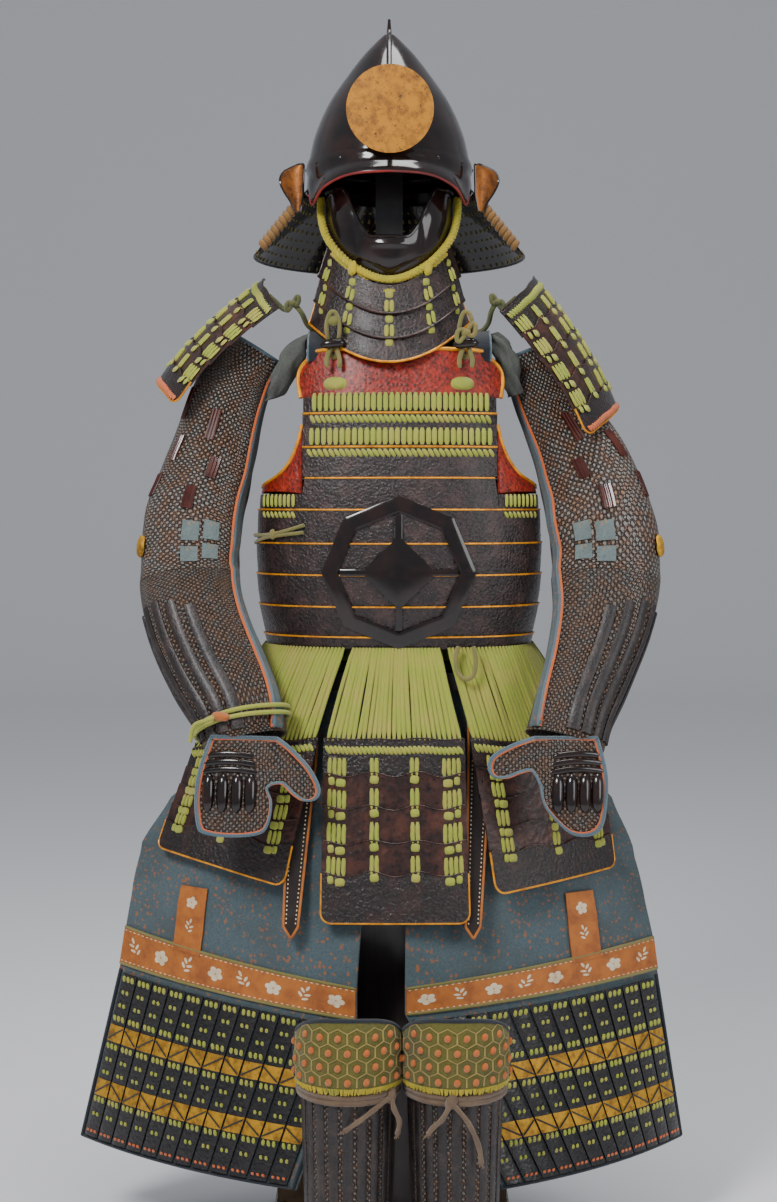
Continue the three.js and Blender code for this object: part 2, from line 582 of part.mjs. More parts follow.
// Sleeves: X, Y, Z of the middle, half width and half depth from shoulder to wrist.
const SLEEVES = {
  left: [
    [-190, 2, 1264, 42, 38], [-228, 0, 1199, 52, 50], [-259, -15, 1092, 62, 56], [-279, -42, 1010, 69, 60],
    [-281, -62, 938, 69, 58], [-266, -90, 880, 69, 54], [-234, -125, 812, 68, 48], [-206, -158, 762, 62, 40],
    [-196, -174, 727, 56, 34],
  ],
  right: [
    [196, 2, 1262, 42, 38], [222, 0, 1192, 48, 46], [272, -15, 1092, 68, 58], [294, -42, 1010, 76, 62],
    [297, -62, 938, 75, 60], [288, -90, 878, 68, 54], [264, -125, 812, 60, 47], [242, -158, 762, 55, 40],
    [231, -174, 727, 54, 34],
  ],
};
const SPLINT_FROM = 4; // first row of the forearm, where the splints begin
const SPLINT = 2.2;
const FOREARM_GAP = 0.008; // share of a row that parts the forearm from the upper sleeve
const SLEEVE_SIDES = 16;

function sleevePoint(side, row, k, off) {
  const rows = SLEEVES[side];
  const middle = (i) => V(...rows[clamp(i, 0, rows.length - 1)].slice(0, 3));
  const along = middle(row + 1).sub(middle(row - 1)).normalize();
  const across = V(1, 0, 0).addScaledVector(along, -along.x).normalize();
  const forward = along.clone().cross(across);
  const angle = (2 * Math.PI * k) / SLEEVE_SIDES;
  return middle(row)
    .addScaledVector(across, (rows[row][3] + off) * Math.cos(angle))
    .addScaledVector(forward, (rows[row][4] + off) * Math.sin(angle));
}

// Cloth tab from the top of a sleeve to the edge of the shoulder strap.
const YOKES = {
  left: [[-157, 1237], [-145, 1262], [-130, 1277], [-116.5, 1282.3]],
  right: [[163, 1237], [156, 1262], [148, 1276], [136.5, 1282.3]],
};
const YOKE_HALF = 15;
const forearm = {};
for (const side of ['left', 'right']) {
  const rows = SLEEVES[side].map((_, i) => i);
  const last = rows.length - 1;
  const yoke = loft(YOKES[side].map(([x, z]) =>
    [[-1, 1.5], [1, 1.5], [1, -1.5], [-1, -1.5]].map(([y, dz]) => V(x, y * YOKE_HALF, z + dz))));
  const ring = (i, k, off) => (i === SPLINT_FROM + FOREARM_GAP
    ? sleevePoint(side, SPLINT_FROM, k, off).lerp(sleevePoint(side, SPLINT_FROM + 1, k, off), FOREARM_GAP)
    : sleevePoint(side, i, k, off));
  const part = (rows, raised) => loft(list(SLEEVE_SIDES, (k) => [
    ...rows.map((i) => ring(i, k, i > SPLINT_FROM + 0.5 && i < last && k % 2 ? raised : 0)),
    ...rows.map((i) => ring(i, k, -CLOTH)).reverse(),
  ]), { closed: true });
  add(`sleeve_${side}`, join(yoke, part(rows.slice(0, SPLINT_FROM + 1), 0)), 'mail', 0.7);
  forearm[side] = part([SPLINT_FROM + FOREARM_GAP, ...rows.slice(SPLINT_FROM + 1)], SPLINT);
  add(`forearm_${side}`, forearm[side], 'mail', 0.7);
}

// Hand guards: a shaped plate over the back of the hand and thumb, with four knuckle ribs.
const HANDS = {
  left: {
    corners: [[-275, -189, 745], [-85, -194, 745], [-275, -214, 600], [-85, -222, 600]],
    outline: [[-240, 738], [-256, 690], [-260, 654], [-257, 622], [-248, 612], [-214, 609],
      [-176, 613], [-164, 626], [-160, 652], [-165, 672], [-146, 678], [-130, 664], [-116, 655],
      [-101, 657], [-97, 670], [-110, 696], [-134, 722], [-152, 736]],
    knuckles: [-243, -224, -205, -187],
  },
  right: {
    corners: [[115, -194, 745], [298, -189, 745], [115, -222, 600], [298, -214, 600]],
    outline: [[272, 736], [283, 690], [283, 654], [277, 622], [262, 610], [238, 612], [218, 628],
      [201, 650], [195, 676], [184, 694], [168, 692], [150, 685], [134, 686], [128, 697], [134, 712],
      [160, 727], [188, 737]],
    knuckles: [218, 236, 254, 271],
  },
};
const KNUCKLE = [7.5, 6, 19];
for (const [side, hand] of Object.entries(HANDS)) {
  const [tl, tr, bl, br] = hand.corners.map((c) => V(...c));
  const at = (u, v, off) => tl.clone().lerp(tr, u).lerp(bl.clone().lerp(br, u), v)
    .add(V(0, -off - 16 * (1 - (2 * u - 1) ** 2), 0));
  const skin = loft(steps(0, 1, 5).map((u) =>
    [[0, 0], [1, 0], [1, -LACQUER], [0, -LACQUER]].map(([v, off]) => at(u, v, off))), { wall: 2 });
  const outlined = common(skin, prism(hand.outline, -300, -120));
  const plate = seated(outlined, forearm[side], moved(forearm[side], 0, -0.3, -SEAM));
  const ribs = hand.knuckles.map((x) => {
    const u = (x - tl.x) / (tr.x - tl.x);
    const seat = at(u, 0.56, -1);
    return new THREE.SphereGeometry(1, 6, 4).scale(...KNUCKLE).translate(seat.x, seat.y, seat.z);
  });
  add(`hand_guard_${side}`, join(plate, ...ribs), 'lacquer', 0.3);
}

// Level hoop through points, round in section.
function hoop(points, radius, sides) {
  return loft(points.map((p, i) => {
    const along = points[(i + 1) % points.length].clone().sub(points.at(i - 1)).normalize();
    const across = V(0, 0, 1).cross(along).normalize();
    return ring(p, across, along.clone().cross(across), radius, sides);
  }), { closed: true });
}

// Belt of the thigh guards, round the waist board of the stand.
const BELT = { a: 176, front: 122, behind: 100, low: 790, high: 814 };
const belt = loft(list(36, (i) => {
  const angle = (2 * Math.PI * i) / 36;
  const [sin, cos] = [squared(Math.sin(angle)), squared(Math.cos(angle))];
  const depth = cos > 0 ? BELT.front : BELT.behind;
  const at = (off, z) => V(TORSO_X + (BELT.a + off) * sin, -(depth + off) * cos, z);
  return [at(CLOTH, BELT.high), at(CLOTH, BELT.low), at(0, BELT.low), at(0, BELT.high)];
}), { closed: true });

// Thigh guards: outer and inner edge of the cloth at each row, from the belt to the hem.
const APRONS = {
  left: [
    [[-148.6, -14, 808], [-14, -102, 808]], [[-236, -12, 690], [-24, -128, 690]],
    [[-310, -18, 630], [-30, -142, 640]], [[-352, -20, 566], [-36, -153, 570]],
    [[-367, -20, 506], [-41, -168, 490]], [[-377, -20, 446], [-47, -182, 396]],
    [[-386, -15, 391], [-47, -187, 354]], [[-450, 20, 129], [-127, -205, 128]],
  ],
  right: [
    [[170, -14, 808], [34, -102, 808]], [[250, -12, 690], [30, -128, 690]],
    [[308, -18, 630], [25, -142, 640]], [[339, -20, 560], [21, -153, 570]],
    [[356, -20, 496], [18, -168, 490]], [[370, -20, 431], [17, -182, 396]],
    [[377, -15, 383], [17, -187, 361]], [[419, 20, 129], [140, -205, 128]],
  ],
};
const APRON_COLUMNS = 12;
const APRON_BULGE = 22;
const FOLD = 5; // depth of the soft folds in the plain cloth
const FOLD_ROWS = [0, 0.4, 1, 1, 0.6, 0, 0, 0];
const BAND_ROWS = [5, 6];
const PLATE_COLUMNS = 12;
const PLATE_LIFT = { left: 3.4, right: 4.6 }; // clears the slight twist of the cloth behind

function apron(side) {
  const rows = APRONS[side].map(([o, i]) => [V(...o), V(...i)]);
  const across = rows.map(([o, i]) => i.clone().sub(o).setZ(0).normalize());
  const out = across.map((a) => (side === 'left' ? V(a.y, -a.x, 0) : V(-a.y, a.x, 0)));
  const vertex = (column, row) => {
    const u = column / APRON_COLUMNS;
    const wave = FOLD * FOLD_ROWS[row] * Math.sin(u * 15 + row * 0.8);
    return rows[row][0].clone().lerp(rows[row][1], u)
      .addScaledVector(out[row], APRON_BULGE * (1 - (2 * u - 1) ** 2) + wave);
  };
  return (u, v, off) => {
    const c = Math.min(Math.floor(u * APRON_COLUMNS + 1e-6), APRON_COLUMNS - 1);
    const r = Math.min(Math.floor(v + 1e-6), rows.length - 2);
    const [s, t] = [u * APRON_COLUMNS - c, v - r];
    const [above, below] = [r, r + 1].map((row) => vertex(c, row).lerp(vertex(c + 1, row), s));
    return above.lerp(below, t).addScaledVector(out[r].clone().lerp(out[r + 1], t), off);
  };
}

function apronWall(at, columns, rows, inner, outer) {
  return loft(columns.map((u) => [
    ...rows.map((v) => at(u, v, outer)), ...rows.map((v) => at(u, v, inner)).reverse(),
  ]), { wall: rows.length });
}

for (const side of ['left', 'right']) {
  const at = apron(side);
  const columns = steps(0, 1, APRON_COLUMNS);
  const rows = APRONS[side].map((_, i) => i);
  add(`thigh_cloth_${side}`, apronWall(at, columns, rows, 0, CLOTH), 'cloth', 0.9);

  const face = CLOTH + SEAM;
  const strapColumns = [3, 4, 4.5].map((c) => c / APRON_COLUMNS);
  add(`thigh_band_${side}`, join(
    apronWall(at, columns, BAND_ROWS, face, face + 2.2),
    apronWall(at, strapColumns, [3.8, 4, 5, 5.15], face + 1.4, face + 3.6),
  ), 'band', 0.7);

  const plates = list(PLATE_COLUMNS, (i) => [0.02, 0.06, 0.94, 0.98].map((t, k) => [
    mix(0.03, 0.97, (i + t) / PLATE_COLUMNS), k % 3 ? 2.4 : 0.6,
  ])).flat();
  const lift = face + PLATE_LIFT[side];
  add(`thigh_plates_${side}`, loft(plates.map(([u, high]) => [
    at(u, 6.04, lift + high), at(u, 6.97, lift + high), at(u, 6.97, lift - 0.8), at(u, 6.04, lift - 0.8),
  ]), { wall: 2 }), 'lacquer', 0.5);
}

// Long patterned straps sewn to the belt, which hang between the tassets.
const STRAPS = [ // height, X and Y of the left edge, X and Y of the right edge
  [[804, -140, -98.2, -102, -107.3], [700, -142, -119.4, -102, -129],
    [478, -147, -178, -126, -183], [462, -138, -182, -134, -183]],
  [[804, 103, -114.6, 134, -107.2], [700, 103, -129, 136, -121.1],
    [478, 98, -184, 119, -179], [462, 107, -184, 111, -183]],
];
const STRAP_THICK = 2.4;
const strips = STRAPS.map((rows) => loft(rows.map(([z, x0, y0, x1, y1]) =>
  [V(x0, y0, z), V(x1, y1, z), V(x1, y1 + STRAP_THICK, z), V(x0, y0 + STRAP_THICK, z)])));
add('thigh_belt', join(belt, ...strips), 'cloth', 0.9);

// Shin guards standing in front, open at the back, with upright splints.
const SHIN = { apart: 70, y: -245, a: 61, b: 68, ankle: 0.86, top: 372, ends: 104, splint: 2.4 };
function shinPoint(side, turn, z, off) {
  const taper = mix(SHIN.ankle, 1, clamp(z / 280, 0, 1));
  const [sin, cos] = [Math.sin(rad(turn)), Math.cos(rad(turn))];
  const middle = SHIN_X + side * SHIN.apart;
  return V(middle + (SHIN.a * taper + off) * sin, SHIN.y - (SHIN.b * taper + off) * cos, z);
}
const KNEE_PAD = 8;
for (const side of [-1, 1]) {
  const name = side < 0 ? 'left' : 'right';
  const turns = steps(-SHIN.ends, SHIN.ends, 22);
  const rows = [SHIN.top, 280, 0];
  add(`shin_guard_${name}`, loft(turns.map((turn, i) => {
    const raised = i % 4 === 1 || i % 4 === 2 ? SHIN.splint : 0;
    const wall = (off) => rows.map((z) => shinPoint(side, turn, z, off));
    return [...wall(raised), ...wall(-2).reverse()];
  }), { wall: rows.length }), 'mail', 0.6);

  add(`knee_cap_${name}`, loft(steps(-84, 84, 10).map((turn) => {
    const edge = Math.abs(turn) / 84;
    const top = 384 - 12 * edge ** 4;
    const heights = [top, top - 10, 338, 305, 293];
    const puff = [0.35, 0.9, 1, 0.85, 0.35].map((p) => p * (1 - 0.6 * edge ** 6));
    const base = SHIN.splint + 1.6;
    return [...heights.map((z, i) => shinPoint(side, turn, z, base + 2 + KNEE_PAD * puff[i])),
      ...heights.map((z) => shinPoint(side, turn, z, base)).reverse()];
  }), { wall: 5 }), 'brocade', 0.8);
}

// Hemp ties under the knee caps, each with a knot and two free ends.
const TIE_Z = 283;
const TIE_KNOTS = [ // side, turn of the knot, ends as X, Y, Z
  [-1, 52, [[-34, -320, 264], [-62, -327, 246]], [[2, -300, 268], [9, -298, 250], [6, -296, 232]]],
  [1, -6, [[64, -324, 262], [52, -322, 250]], [[96, -325, 258], [110, -320, 226], [114, -316, 200]]],
];
for (const [side, turn, ...ends] of TIE_KNOTS) {
  const off = SHIN.splint + 1.6;
  const band = loft(steps(-98, 98, 12).map((t) => [
    shinPoint(side, t, TIE_Z + 6, off + 4), shinPoint(side, t, TIE_Z - 6, off + 4),
    shinPoint(side, t, TIE_Z - 6, off), shinPoint(side, t, TIE_Z + 6, off),
  ]), { wall: 2 });
  const seat = shinPoint(side, turn, TIE_Z, off + 7);
  const knot = new THREE.SphereGeometry(1, 6, 4).scale(11, 7, 9).translate(seat.x, seat.y, seat.z);
  const tails = ends.map((path) => tube([seat, ...path.map((p) => V(...p))], 3.6, 5, 6));
  add(`shin_tie_${side < 0 ? 'left' : 'right'}`, join(band, knot, ...tails), 'hemp', 0.9);
}

// Green cord tied round the left wrist, with its wrapped bead.
const WRIST = list(SLEEVE_SIDES, (k) =>
  sleevePoint('left', 7, k, 6.6).lerp(sleevePoint('left', 8, k, 6.6), 0.25));
const beadAt = WRIST[5];
const bead = new THREE.SphereGeometry(1, 6, 4).scale(11, 6, 6.5).translate(beadAt.x, beadAt.y - 2, beadAt.z);
const wristEnd = [V(-262, -206, 752), V(-268, -202, 730)];
const wristTail = tube([V(beadAt.x, beadAt.y - 3, beadAt.z), ...wristEnd], 3, 5, 6);
add('wrist_cord', join(hoop(WRIST, 3.4, 5), bead, wristTail), 'lace', 0.8);

// Cords from the shoulder straps up to the shoulder guards.
const KNOTS = {
  left: [[-88, -24, 1285.6], [-104, -28, 1285.2], [-118, -34, 1294], [-126, -46, 1310],
    [-138, -42, 1322], [-150, -32, 1316], [-161, -30, 1325], [-172, -33, 1335]],
  right: [[108, -24, 1285.6], [124, -28, 1285.2], [134, -34, 1296], [138, -46, 1312],
    [146, -40, 1324], [156, -30, 1318], [164, -26, 1324], [174, -27, 1333]],
};
const KNOT_GAP = { left: [SEAM, 0, -SEAM], right: [-SEAM, 0, -SEAM] };

// Cord loops and toggles that close the shoulder straps at the front.
const TOGGLE_X = { left: -80, right: 100 };
const TOGGLE_LOOP = [ // X from the middle of the loop, Y, Z
  [-6, -108, 1262], [-9, -119, 1284], [-4, -123, 1302], [4, -123, 1302], [9, -119, 1284],
  [6, -108, 1262], [3, -103, 1246], [-3, -103, 1246],
];
const TOGGLE_CORD = 3;
for (const side of ['left', 'right']) {
  const loop = TOGGLE_LOOP.map(([dx, y, z]) => V(TOGGLE_X[side] + dx, y, z));
  const rings = loop.map((p, i) => {
    const along = loop[(i + 1) % loop.length].clone().sub(loop.at(i - 1)).normalize();
    const across = along.clone().cross(V(0, 1, 0)).normalize();
    return ring(p, across, along.clone().cross(across), TOGGLE_CORD, 6);
  });
  const rests = [lowLame, moved(lowLame, 0, -SEAM, 0), moved(chestPlate, 0, -SEAM, 0)];
  const cord = seated(loft(rings, { closed: true }), ...rests);
  add(`toggle_cord_${side}`, cord, 'lace', 0.8);

  const knot = tube(KNOTS[side].map((p) => V(...p)), 4, 10, 6);
  const nearby = [guard[side], moved(guard[side], ...KNOT_GAP[side]), moved(strap[side], 0, 0, SEAM)];
  add(`shoulder_knot_${side}`, seated(knot, ...nearby), 'lace', 0.8);
}

export default model;
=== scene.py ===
import math
import random

import bpy
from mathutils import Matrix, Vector, noise
from mathutils.geometry import delaunay_2d_cdt


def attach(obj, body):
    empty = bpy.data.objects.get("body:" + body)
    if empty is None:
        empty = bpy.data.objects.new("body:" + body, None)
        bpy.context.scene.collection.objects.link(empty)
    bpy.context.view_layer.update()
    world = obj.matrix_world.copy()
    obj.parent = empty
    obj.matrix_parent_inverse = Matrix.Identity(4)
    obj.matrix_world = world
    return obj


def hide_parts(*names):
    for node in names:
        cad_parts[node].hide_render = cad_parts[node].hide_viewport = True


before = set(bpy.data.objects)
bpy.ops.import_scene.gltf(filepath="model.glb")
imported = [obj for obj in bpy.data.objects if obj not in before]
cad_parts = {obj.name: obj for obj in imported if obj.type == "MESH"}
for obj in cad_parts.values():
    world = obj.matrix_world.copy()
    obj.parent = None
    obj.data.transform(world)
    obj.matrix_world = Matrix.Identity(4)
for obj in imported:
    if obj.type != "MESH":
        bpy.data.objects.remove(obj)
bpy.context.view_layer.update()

MM = 0.001
CLOTH = 3  # thickness of quilted or lined cloth
LACQUER = 2.4  # thickness of a lacquered lame
HELMET_X, TORSO_X, SHIN_X = -4, 10, 12.5
SIDES = {"left": -1, "right": 1}
chance = random.Random(7)


def V(x, y, z):
    return Vector((x, y, z))


def mix(a, b, t):
    return a + (b - a) * t


def clamp(value, low=0.0, high=1.0):
    return max(low, min(high, value))


def ease(t):
    """Soft start and stop between 0 and 1."""
    t = clamp(t)
    return t * t * (3 - 2 * t)


def steps(start, stop, count):
    """Numbers from start to stop in even steps, both ends included."""
    return [mix(start, stop, i / count) for i in range(count + 1)]


def circle(count):
    """Angles in degrees, evenly all round."""
    return [360 * i / count for i in range(count)]


def spread(start, stop, count):
    """Middles of equal parts between two numbers."""
    return [mix(start, stop, (i + 0.5) / count) for i in range(count)]


def barrel(radius, count, power, least=0.05):
    """Radii along a short bar with rounded ends."""
    return [radius * math.sqrt(max(least, 1 - abs(t) ** power)) for t in steps(-1, 1, count)]


def rough(point, size, depth):
    """Soft unevenness of a handmade surface: a smooth random value at a point."""
    return depth * noise.noise(point / size)


def between(table, key):
    """Row of a table at a key in its first column, on a smooth curve through the rows."""
    rising = table[-1][0] > table[0][0]
    i = 0
    while i < len(table) - 2 and (key > table[i + 1][0] if rising else key < table[i + 1][0]):
        i += 1
    a, b = table[i], table[i + 1]
    before, after = table[max(i - 1, 0)], table[min(i + 2, len(table) - 1)]
    span = b[0] - a[0]
    t = clamp((key - a[0]) / span)
    curves = (2 * t**3 - 3 * t**2 + 1, t**3 - 2 * t**2 + t, 3 * t**2 - 2 * t**3, t**3 - t**2)
    row = []
    for k in range(len(a)):
        leaving = (b[k] - before[k]) / (b[0] - before[0]) * span
        arriving = (after[k] - a[k]) / (after[0] - a[0]) * span
        row.append(sum(c * x for c, x in zip(curves, (a[k], leaving, b[k], arriving))))
    return row


def smooth_line(points, count, closed=False):
    """Points spaced along a smooth curve through the given ones."""
    last = len(points)

    def at(i):
        return points[i % last] if closed else points[int(clamp(i, 0, last - 1))]
    line = []
    spans = last if closed else last - 1
    for step in range(count + (0 if closed else 1)):
        place = step * spans / count
        i = min(int(place), spans - 1)
        t = place - i
        p0, p1, p2, p3 = at(i - 1), at(i), at(i + 1), at(i + 2)
        line.append(0.5 * (2 * p1 + (p2 - p0) * t + (2 * p0 - 5 * p1 + 4 * p2 - p3) * t * t
                           + (3 * p1 - p0 - 3 * p2 + p3) * t**3))
    return line


class Shape:
    """Vertices, faces and texture coordinates of one piece."""

    def __init__(self):
        self.points, self.faces, self.uvs = [], [], []

    def grid(self, rows, uvs, around=False):
        """Quads over rows of points; around joins the last row to the first."""
        start = len(self.points)
        width = len(rows[0])
        for row, uv in zip(rows, uvs):
            self.points += row
            self.uvs += uv
        for j in range(len(rows) if around else len(rows) - 1):
            a = start + j * width
            b = start + ((j + 1) % len(rows)) * width
            for i in range(width - 1):
                self.faces.append((a + i, b + i, b + i + 1, a + i + 1))
        return start

    def shell(self, at, us, vs, thick, around=False):
        """Closed wall over at(u, v, off): its face at off 0 and its back `thick` behind."""
        middle_u, middle_v = us[len(us) // 2], vs[len(vs) // 2]
        along_u = lengths([at(u, middle_v, 0) for u in us])
        along_v = lengths([at(middle_u, v, 0) for v in vs])
        back = len(vs)
        rows, uvs = [], []
        for i, u in enumerate(us):
            face = [at(u, v, 0) for v in vs]
            rear = [at(u, v, -thick) for v in reversed(vs)]
            rows.append(face + rear + face[:1])
            side = [(along_u[i], t) for t in along_v]
            uvs.append(side + side[::-1] + side[:1])
        start = self.grid(rows, uvs, around)
        width = 2 * back + 1
        if not around:
            for first in (start, start + (len(us) - 1) * width):
                for i in range(back - 1):
                    far = first + 2 * back - 1 - i
                    self.faces.append((first + i, first + i + 1, far - 1, far))

    def ribbon(self, path, normals, width, height, sides=5, taper=0.6):
        """Flat cord along a path, domed over its normals, with blunt rounded ends."""
        count = len(path)
        along = lengths(path)
        rows, uvs = [], []
        for i, (p, n) in enumerate(zip(path, normals)):
            ahead = (path[min(i + 1, count - 1)] - path[max(i - 1, 0)]).normalized()
            across = ahead.cross(n).normalized()
            end = taper if i in (0, count - 1) else 1
            w = width * end / 2
            ring, ring_uv = [], []
            for k in range(sides + 1):
                angle = math.pi * k / sides
                ring.append(p + across * w * math.cos(angle) + n * height * end * math.sin(angle))
                ring_uv.append((w * math.cos(angle), along[i]))
            rows.append(ring + ring[:1])
            uvs.append(ring_uv + ring_uv[:1])
        start = self.grid(rows, uvs)
        size = sides + 2
        self.faces.append(tuple(start + k for k in range(sides + 1)))
        self.faces.append(tuple(start + (count - 1) * size + k for k in reversed(range(sides + 1))))

    def strip(self, at, line, off, width, height, sides=6, taper=0.6):
        """Flat cord along a line of (u, v) on a surface at(u, v, off)."""
        self.ribbon([at(u, v, off) for u, v in line], [normal_of(at, u, v) for u, v in line],
                    width, height, sides, taper)

    def tube(self, path, radius, sides=8, closed=False):
        """Round cord along a path; radius may be one size for each point."""
        count = len(path)
        along = lengths(path)
        radii = radius if isinstance(radius, list) else [radius] * count
        rows, uvs = [], []
        up = None
        for i, p in enumerate(path):
            if closed:
                ahead = (path[(i + 1) % count] - path[i - 1]).normalized()
            else:
                ahead = (path[min(i + 1, count - 1)] - path[max(i - 1, 0)]).normalized()
            if up is None:
                up = ahead.orthogonal().normalized()
            up = (up - ahead * up.dot(ahead)).normalized()
            side = ahead.cross(up)
            turn = [2 * math.pi * k / sides for k in range(sides + 1)]
            rows.append([p + (up * math.cos(t) + side * math.sin(t)) * radii[i] for t in turn])
            uvs.append([(t * radii[i], along[i]) for t in turn])
        start = self.grid(rows, uvs, closed)
        if not closed:
            size = sides + 1
            self.faces.append(tuple(start + k for k in reversed(range(sides))))
            self.faces.append(tuple(start + (count - 1) * size + k for k in range(sides)))

    def pad(self, centre, across, normal, a, b, height, power=2.6, around=10, rings=3):
        """Rounded pad on a surface, such as a stitch, knot or rivet: half sizes a and b."""
        across = (across - normal * across.dot(normal)).normalized()
        along = normal.cross(across)
        start = len(self.points)
        for r in range(rings):
            rise = math.sin(math.pi / 2 * r / rings)
            reach = math.cos(math.pi / 2 * r / rings)
            for k in range(around):
                angle = 2 * math.pi * k / around
                c, s = math.cos(angle), math.sin(angle)
                x = a * reach * math.copysign(abs(c) ** (2 / power), c)
                y = b * reach * math.copysign(abs(s) ** (2 / power), s)
                self.points.append(centre + across * x + along * y + normal * height * rise)
                self.uvs.append((x, y))
        self.points.append(centre + normal * height)
        self.uvs.append((0, 0))
        top = len(self.points) - 1
        for r in range(rings - 1):
            for k in range(around):
                i, j = start + r * around + k, start + r * around + (k + 1) % around
                self.faces.append((i, j, j + around, i + around))
        last = start + (rings - 1) * around
        for k in range(around):
            self.faces.append((last + k, last + (k + 1) % around, top))
        self.faces.append(tuple(start + k for k in reversed(range(around))))

    def plate(self, outline, at, thick, spacing):
        """Plate cut to a closed outline in two coordinates of at(x, z, off)."""
        xs, zs = [p[0] for p in outline], [p[1] for p in outline]
        inside = [(x, z) for x in middles(min(xs), max(xs), spacing) for z in middles(min(zs), max(zs), spacing)
                  if clear_inside(x, z, outline, spacing * 0.45)]
        count = len(outline)
        edges = [(i, (i + 1) % count) for i in range(count)]
        flat, _, faces, origin, _, _ = delaunay_2d_cdt(
            [Vector(p) for p in [*outline, *inside]], edges, [], 1, 1e-4)
        start = len(self.points)
        size = len(flat)
        for off in (0, -thick):
            self.points += [at(p.x, p.y, off) for p in flat]
            self.uvs += [(p.x, p.y) for p in flat]
        place = {source: i for i, sources in enumerate(origin) for source in sources}
        for face in faces:
            self.faces.append(tuple(start + i for i in face))
            self.faces.append(tuple(start + size + i for i in reversed(face)))
        for a, b in edges:
            a, b = place[a], place[b]
            self.faces.append((start + b, start + a, start + size + a, start + size + b))

    def piece(self, name, material, slot, node=None, sharp=38):
        """Makes the Blender object, which rides on the one body and may stand for a node."""
        mesh = bpy.data.meshes.new(name)
        mesh.from_pydata([p * MM for p in self.points], [], self.faces)
        mesh.validate()
        layer = mesh.uv_layers.new(name="UVMap")
        corners = [0] * len(mesh.loops)
        mesh.loops.foreach_get("vertex_index", corners)
        layer.data.foreach_set("uv", [c * MM for i in corners for c in self.uvs[i]])
        mesh.shade_smooth()
        mesh.set_sharp_from_angle(angle=math.radians(sharp))
        mesh.materials.append(material)
        made = bpy.data.objects.new(name, mesh)
        bpy.context.scene.collection.objects.link(made)
        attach(made, "root")
        if node:
            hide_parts(*([node] if isinstance(node, str) else node))
        return made


def lengths(path):
    """Distance along a path at each of its points."""
    total = [0.0]
    for a, b in zip(path, path[1:]):
        total.append(total[-1] + (b - a).length)
    return total


def middles(low, high, step):
    """Middles of the steps of one size between two numbers."""
    return [low + step * (i + 0.5) for i in range(int((high - low) / step))]


def clear_inside(x, z, outline, margin):
    """Whether a point is inside a closed outline and not too near its edge."""
    inside = False
    for (x0, z0), (x1, z1) in zip(outline, [*outline[1:], outline[0]]):
        if (z0 > z) != (z1 > z) and x < x0 + (z - z0) * (x1 - x0) / (z1 - z0):
            inside = not inside
        dx, dz = x1 - x0, z1 - z0
        t = clamp(((x - x0) * dx + (z - z0) * dz) / max(dx * dx + dz * dz, 1e-9))
        if math.hypot(x - x0 - t * dx, z - z0 - t * dz) < margin:
            return False
    return inside


def normal_of(at, u, v):
    """Outward direction of a surface at(u, v, off)."""
    return (at(u, v, 1) - at(u, v, 0)).normalized()


class Surface:
    """One procedural material, built node by node around its shader."""

    def __init__(self, name, **values):
        self.material = bpy.data.materials.new(name)
        self.material.use_nodes = True
        self.tree = self.material.node_tree
        self.shader = self.tree.nodes["Principled BSDF"]
        for key, value in values.items():
            self.shader.inputs[key.replace("_", " ")].default_value = value
        coordinates = self.tree.nodes.new("ShaderNodeTexCoord")
        self.place = coordinates.outputs["Object"]
        self.uv = coordinates.outputs["UV"]

    def node(self, kind, inputs, **settings):
        node = self.tree.nodes.new("ShaderNode" + kind)
        for name, value in settings.items():
            setattr(node, name, value)
        for key, value in inputs.items():
            if isinstance(value, bpy.types.NodeSocket):
                self.tree.links.new(value, node.inputs[key])
            else:
                node.inputs[key].default_value = value
        return node

    def noise(self, size, detail=3, roughness=0.55, vector=None):
        """Noise whose features are about `size` millimetres across, from 0 to 1."""
        return self.node("TexNoise", {"Vector": vector or self.place, "Scale": 1 / (size * MM),
                                      "Detail": detail, "Roughness": roughness}).outputs["Fac"]

    def cells(self, size, vector=None, feature="F1"):
        """Cells about `size` millimetres across."""
        inputs = {"Vector": vector or self.place, "Scale": 1 / (size * MM)}
        return self.node("TexVoronoi", inputs, feature=feature)

    def moved(self, scale, reach):
        """Texture coordinates pushed about by noise, so that a pattern isn't quite regular."""
        drift = self.node("TexNoise", {"Vector": self.uv, "Scale": scale}).outputs["Color"]
        return self.vector("MULTIPLY_ADD", drift, (reach, reach, 0), self.uv)

    def ramp(self, value, *stops):
        """Colour or number along (place, value) stops."""
        node = self.node("ValToRGB", {"Fac": value})
        elements = node.color_ramp.elements
        while len(elements) < len(stops):
            elements.new(0.5)
        for element, (place, colour) in zip(elements, stops):
            element.position = place
            element.color = (*colour, 1) if isinstance(colour, tuple) else (colour, colour, colour, 1)
        return node.outputs["Color"]

    def blend(self, share, first, second, mode="MIX"):
        colours = [(*c, 1) if isinstance(c, tuple) else c for c in (first, second)]
        return self.node("MixRGB", {"Fac": share, "Color1": colours[0], "Color2": colours[1]},
                         blend_type=mode).outputs["Color"]

    def math(self, operation, *values):
        return self.node("Math", dict(enumerate(values)), operation=operation).outputs[0]

    def vector(self, operation, *values):
        return self.node("VectorMath", dict(enumerate(values)), operation=operation).outputs[0]

    def colour(self, value):
        self.tree.links.new(value, self.shader.inputs["Base Color"])

    def roughness(self, value):
        self.tree.links.new(value, self.shader.inputs["Roughness"])

    def bump(self, height, depth, under=None):
        """Relief `depth` millimetres deep; under is the result of a coarser bump."""
        inputs = {"Height": height, "Distance": depth * MM, "Strength": 1.0}
        if under is not None:
            inputs["Normal"] = under
        normal = self.node("Bump", inputs).outputs["Normal"]
        self.tree.links.new(normal, self.shader.inputs["Normal"])
        return normal


SOIL = (0.05, 0.05, 0.045)


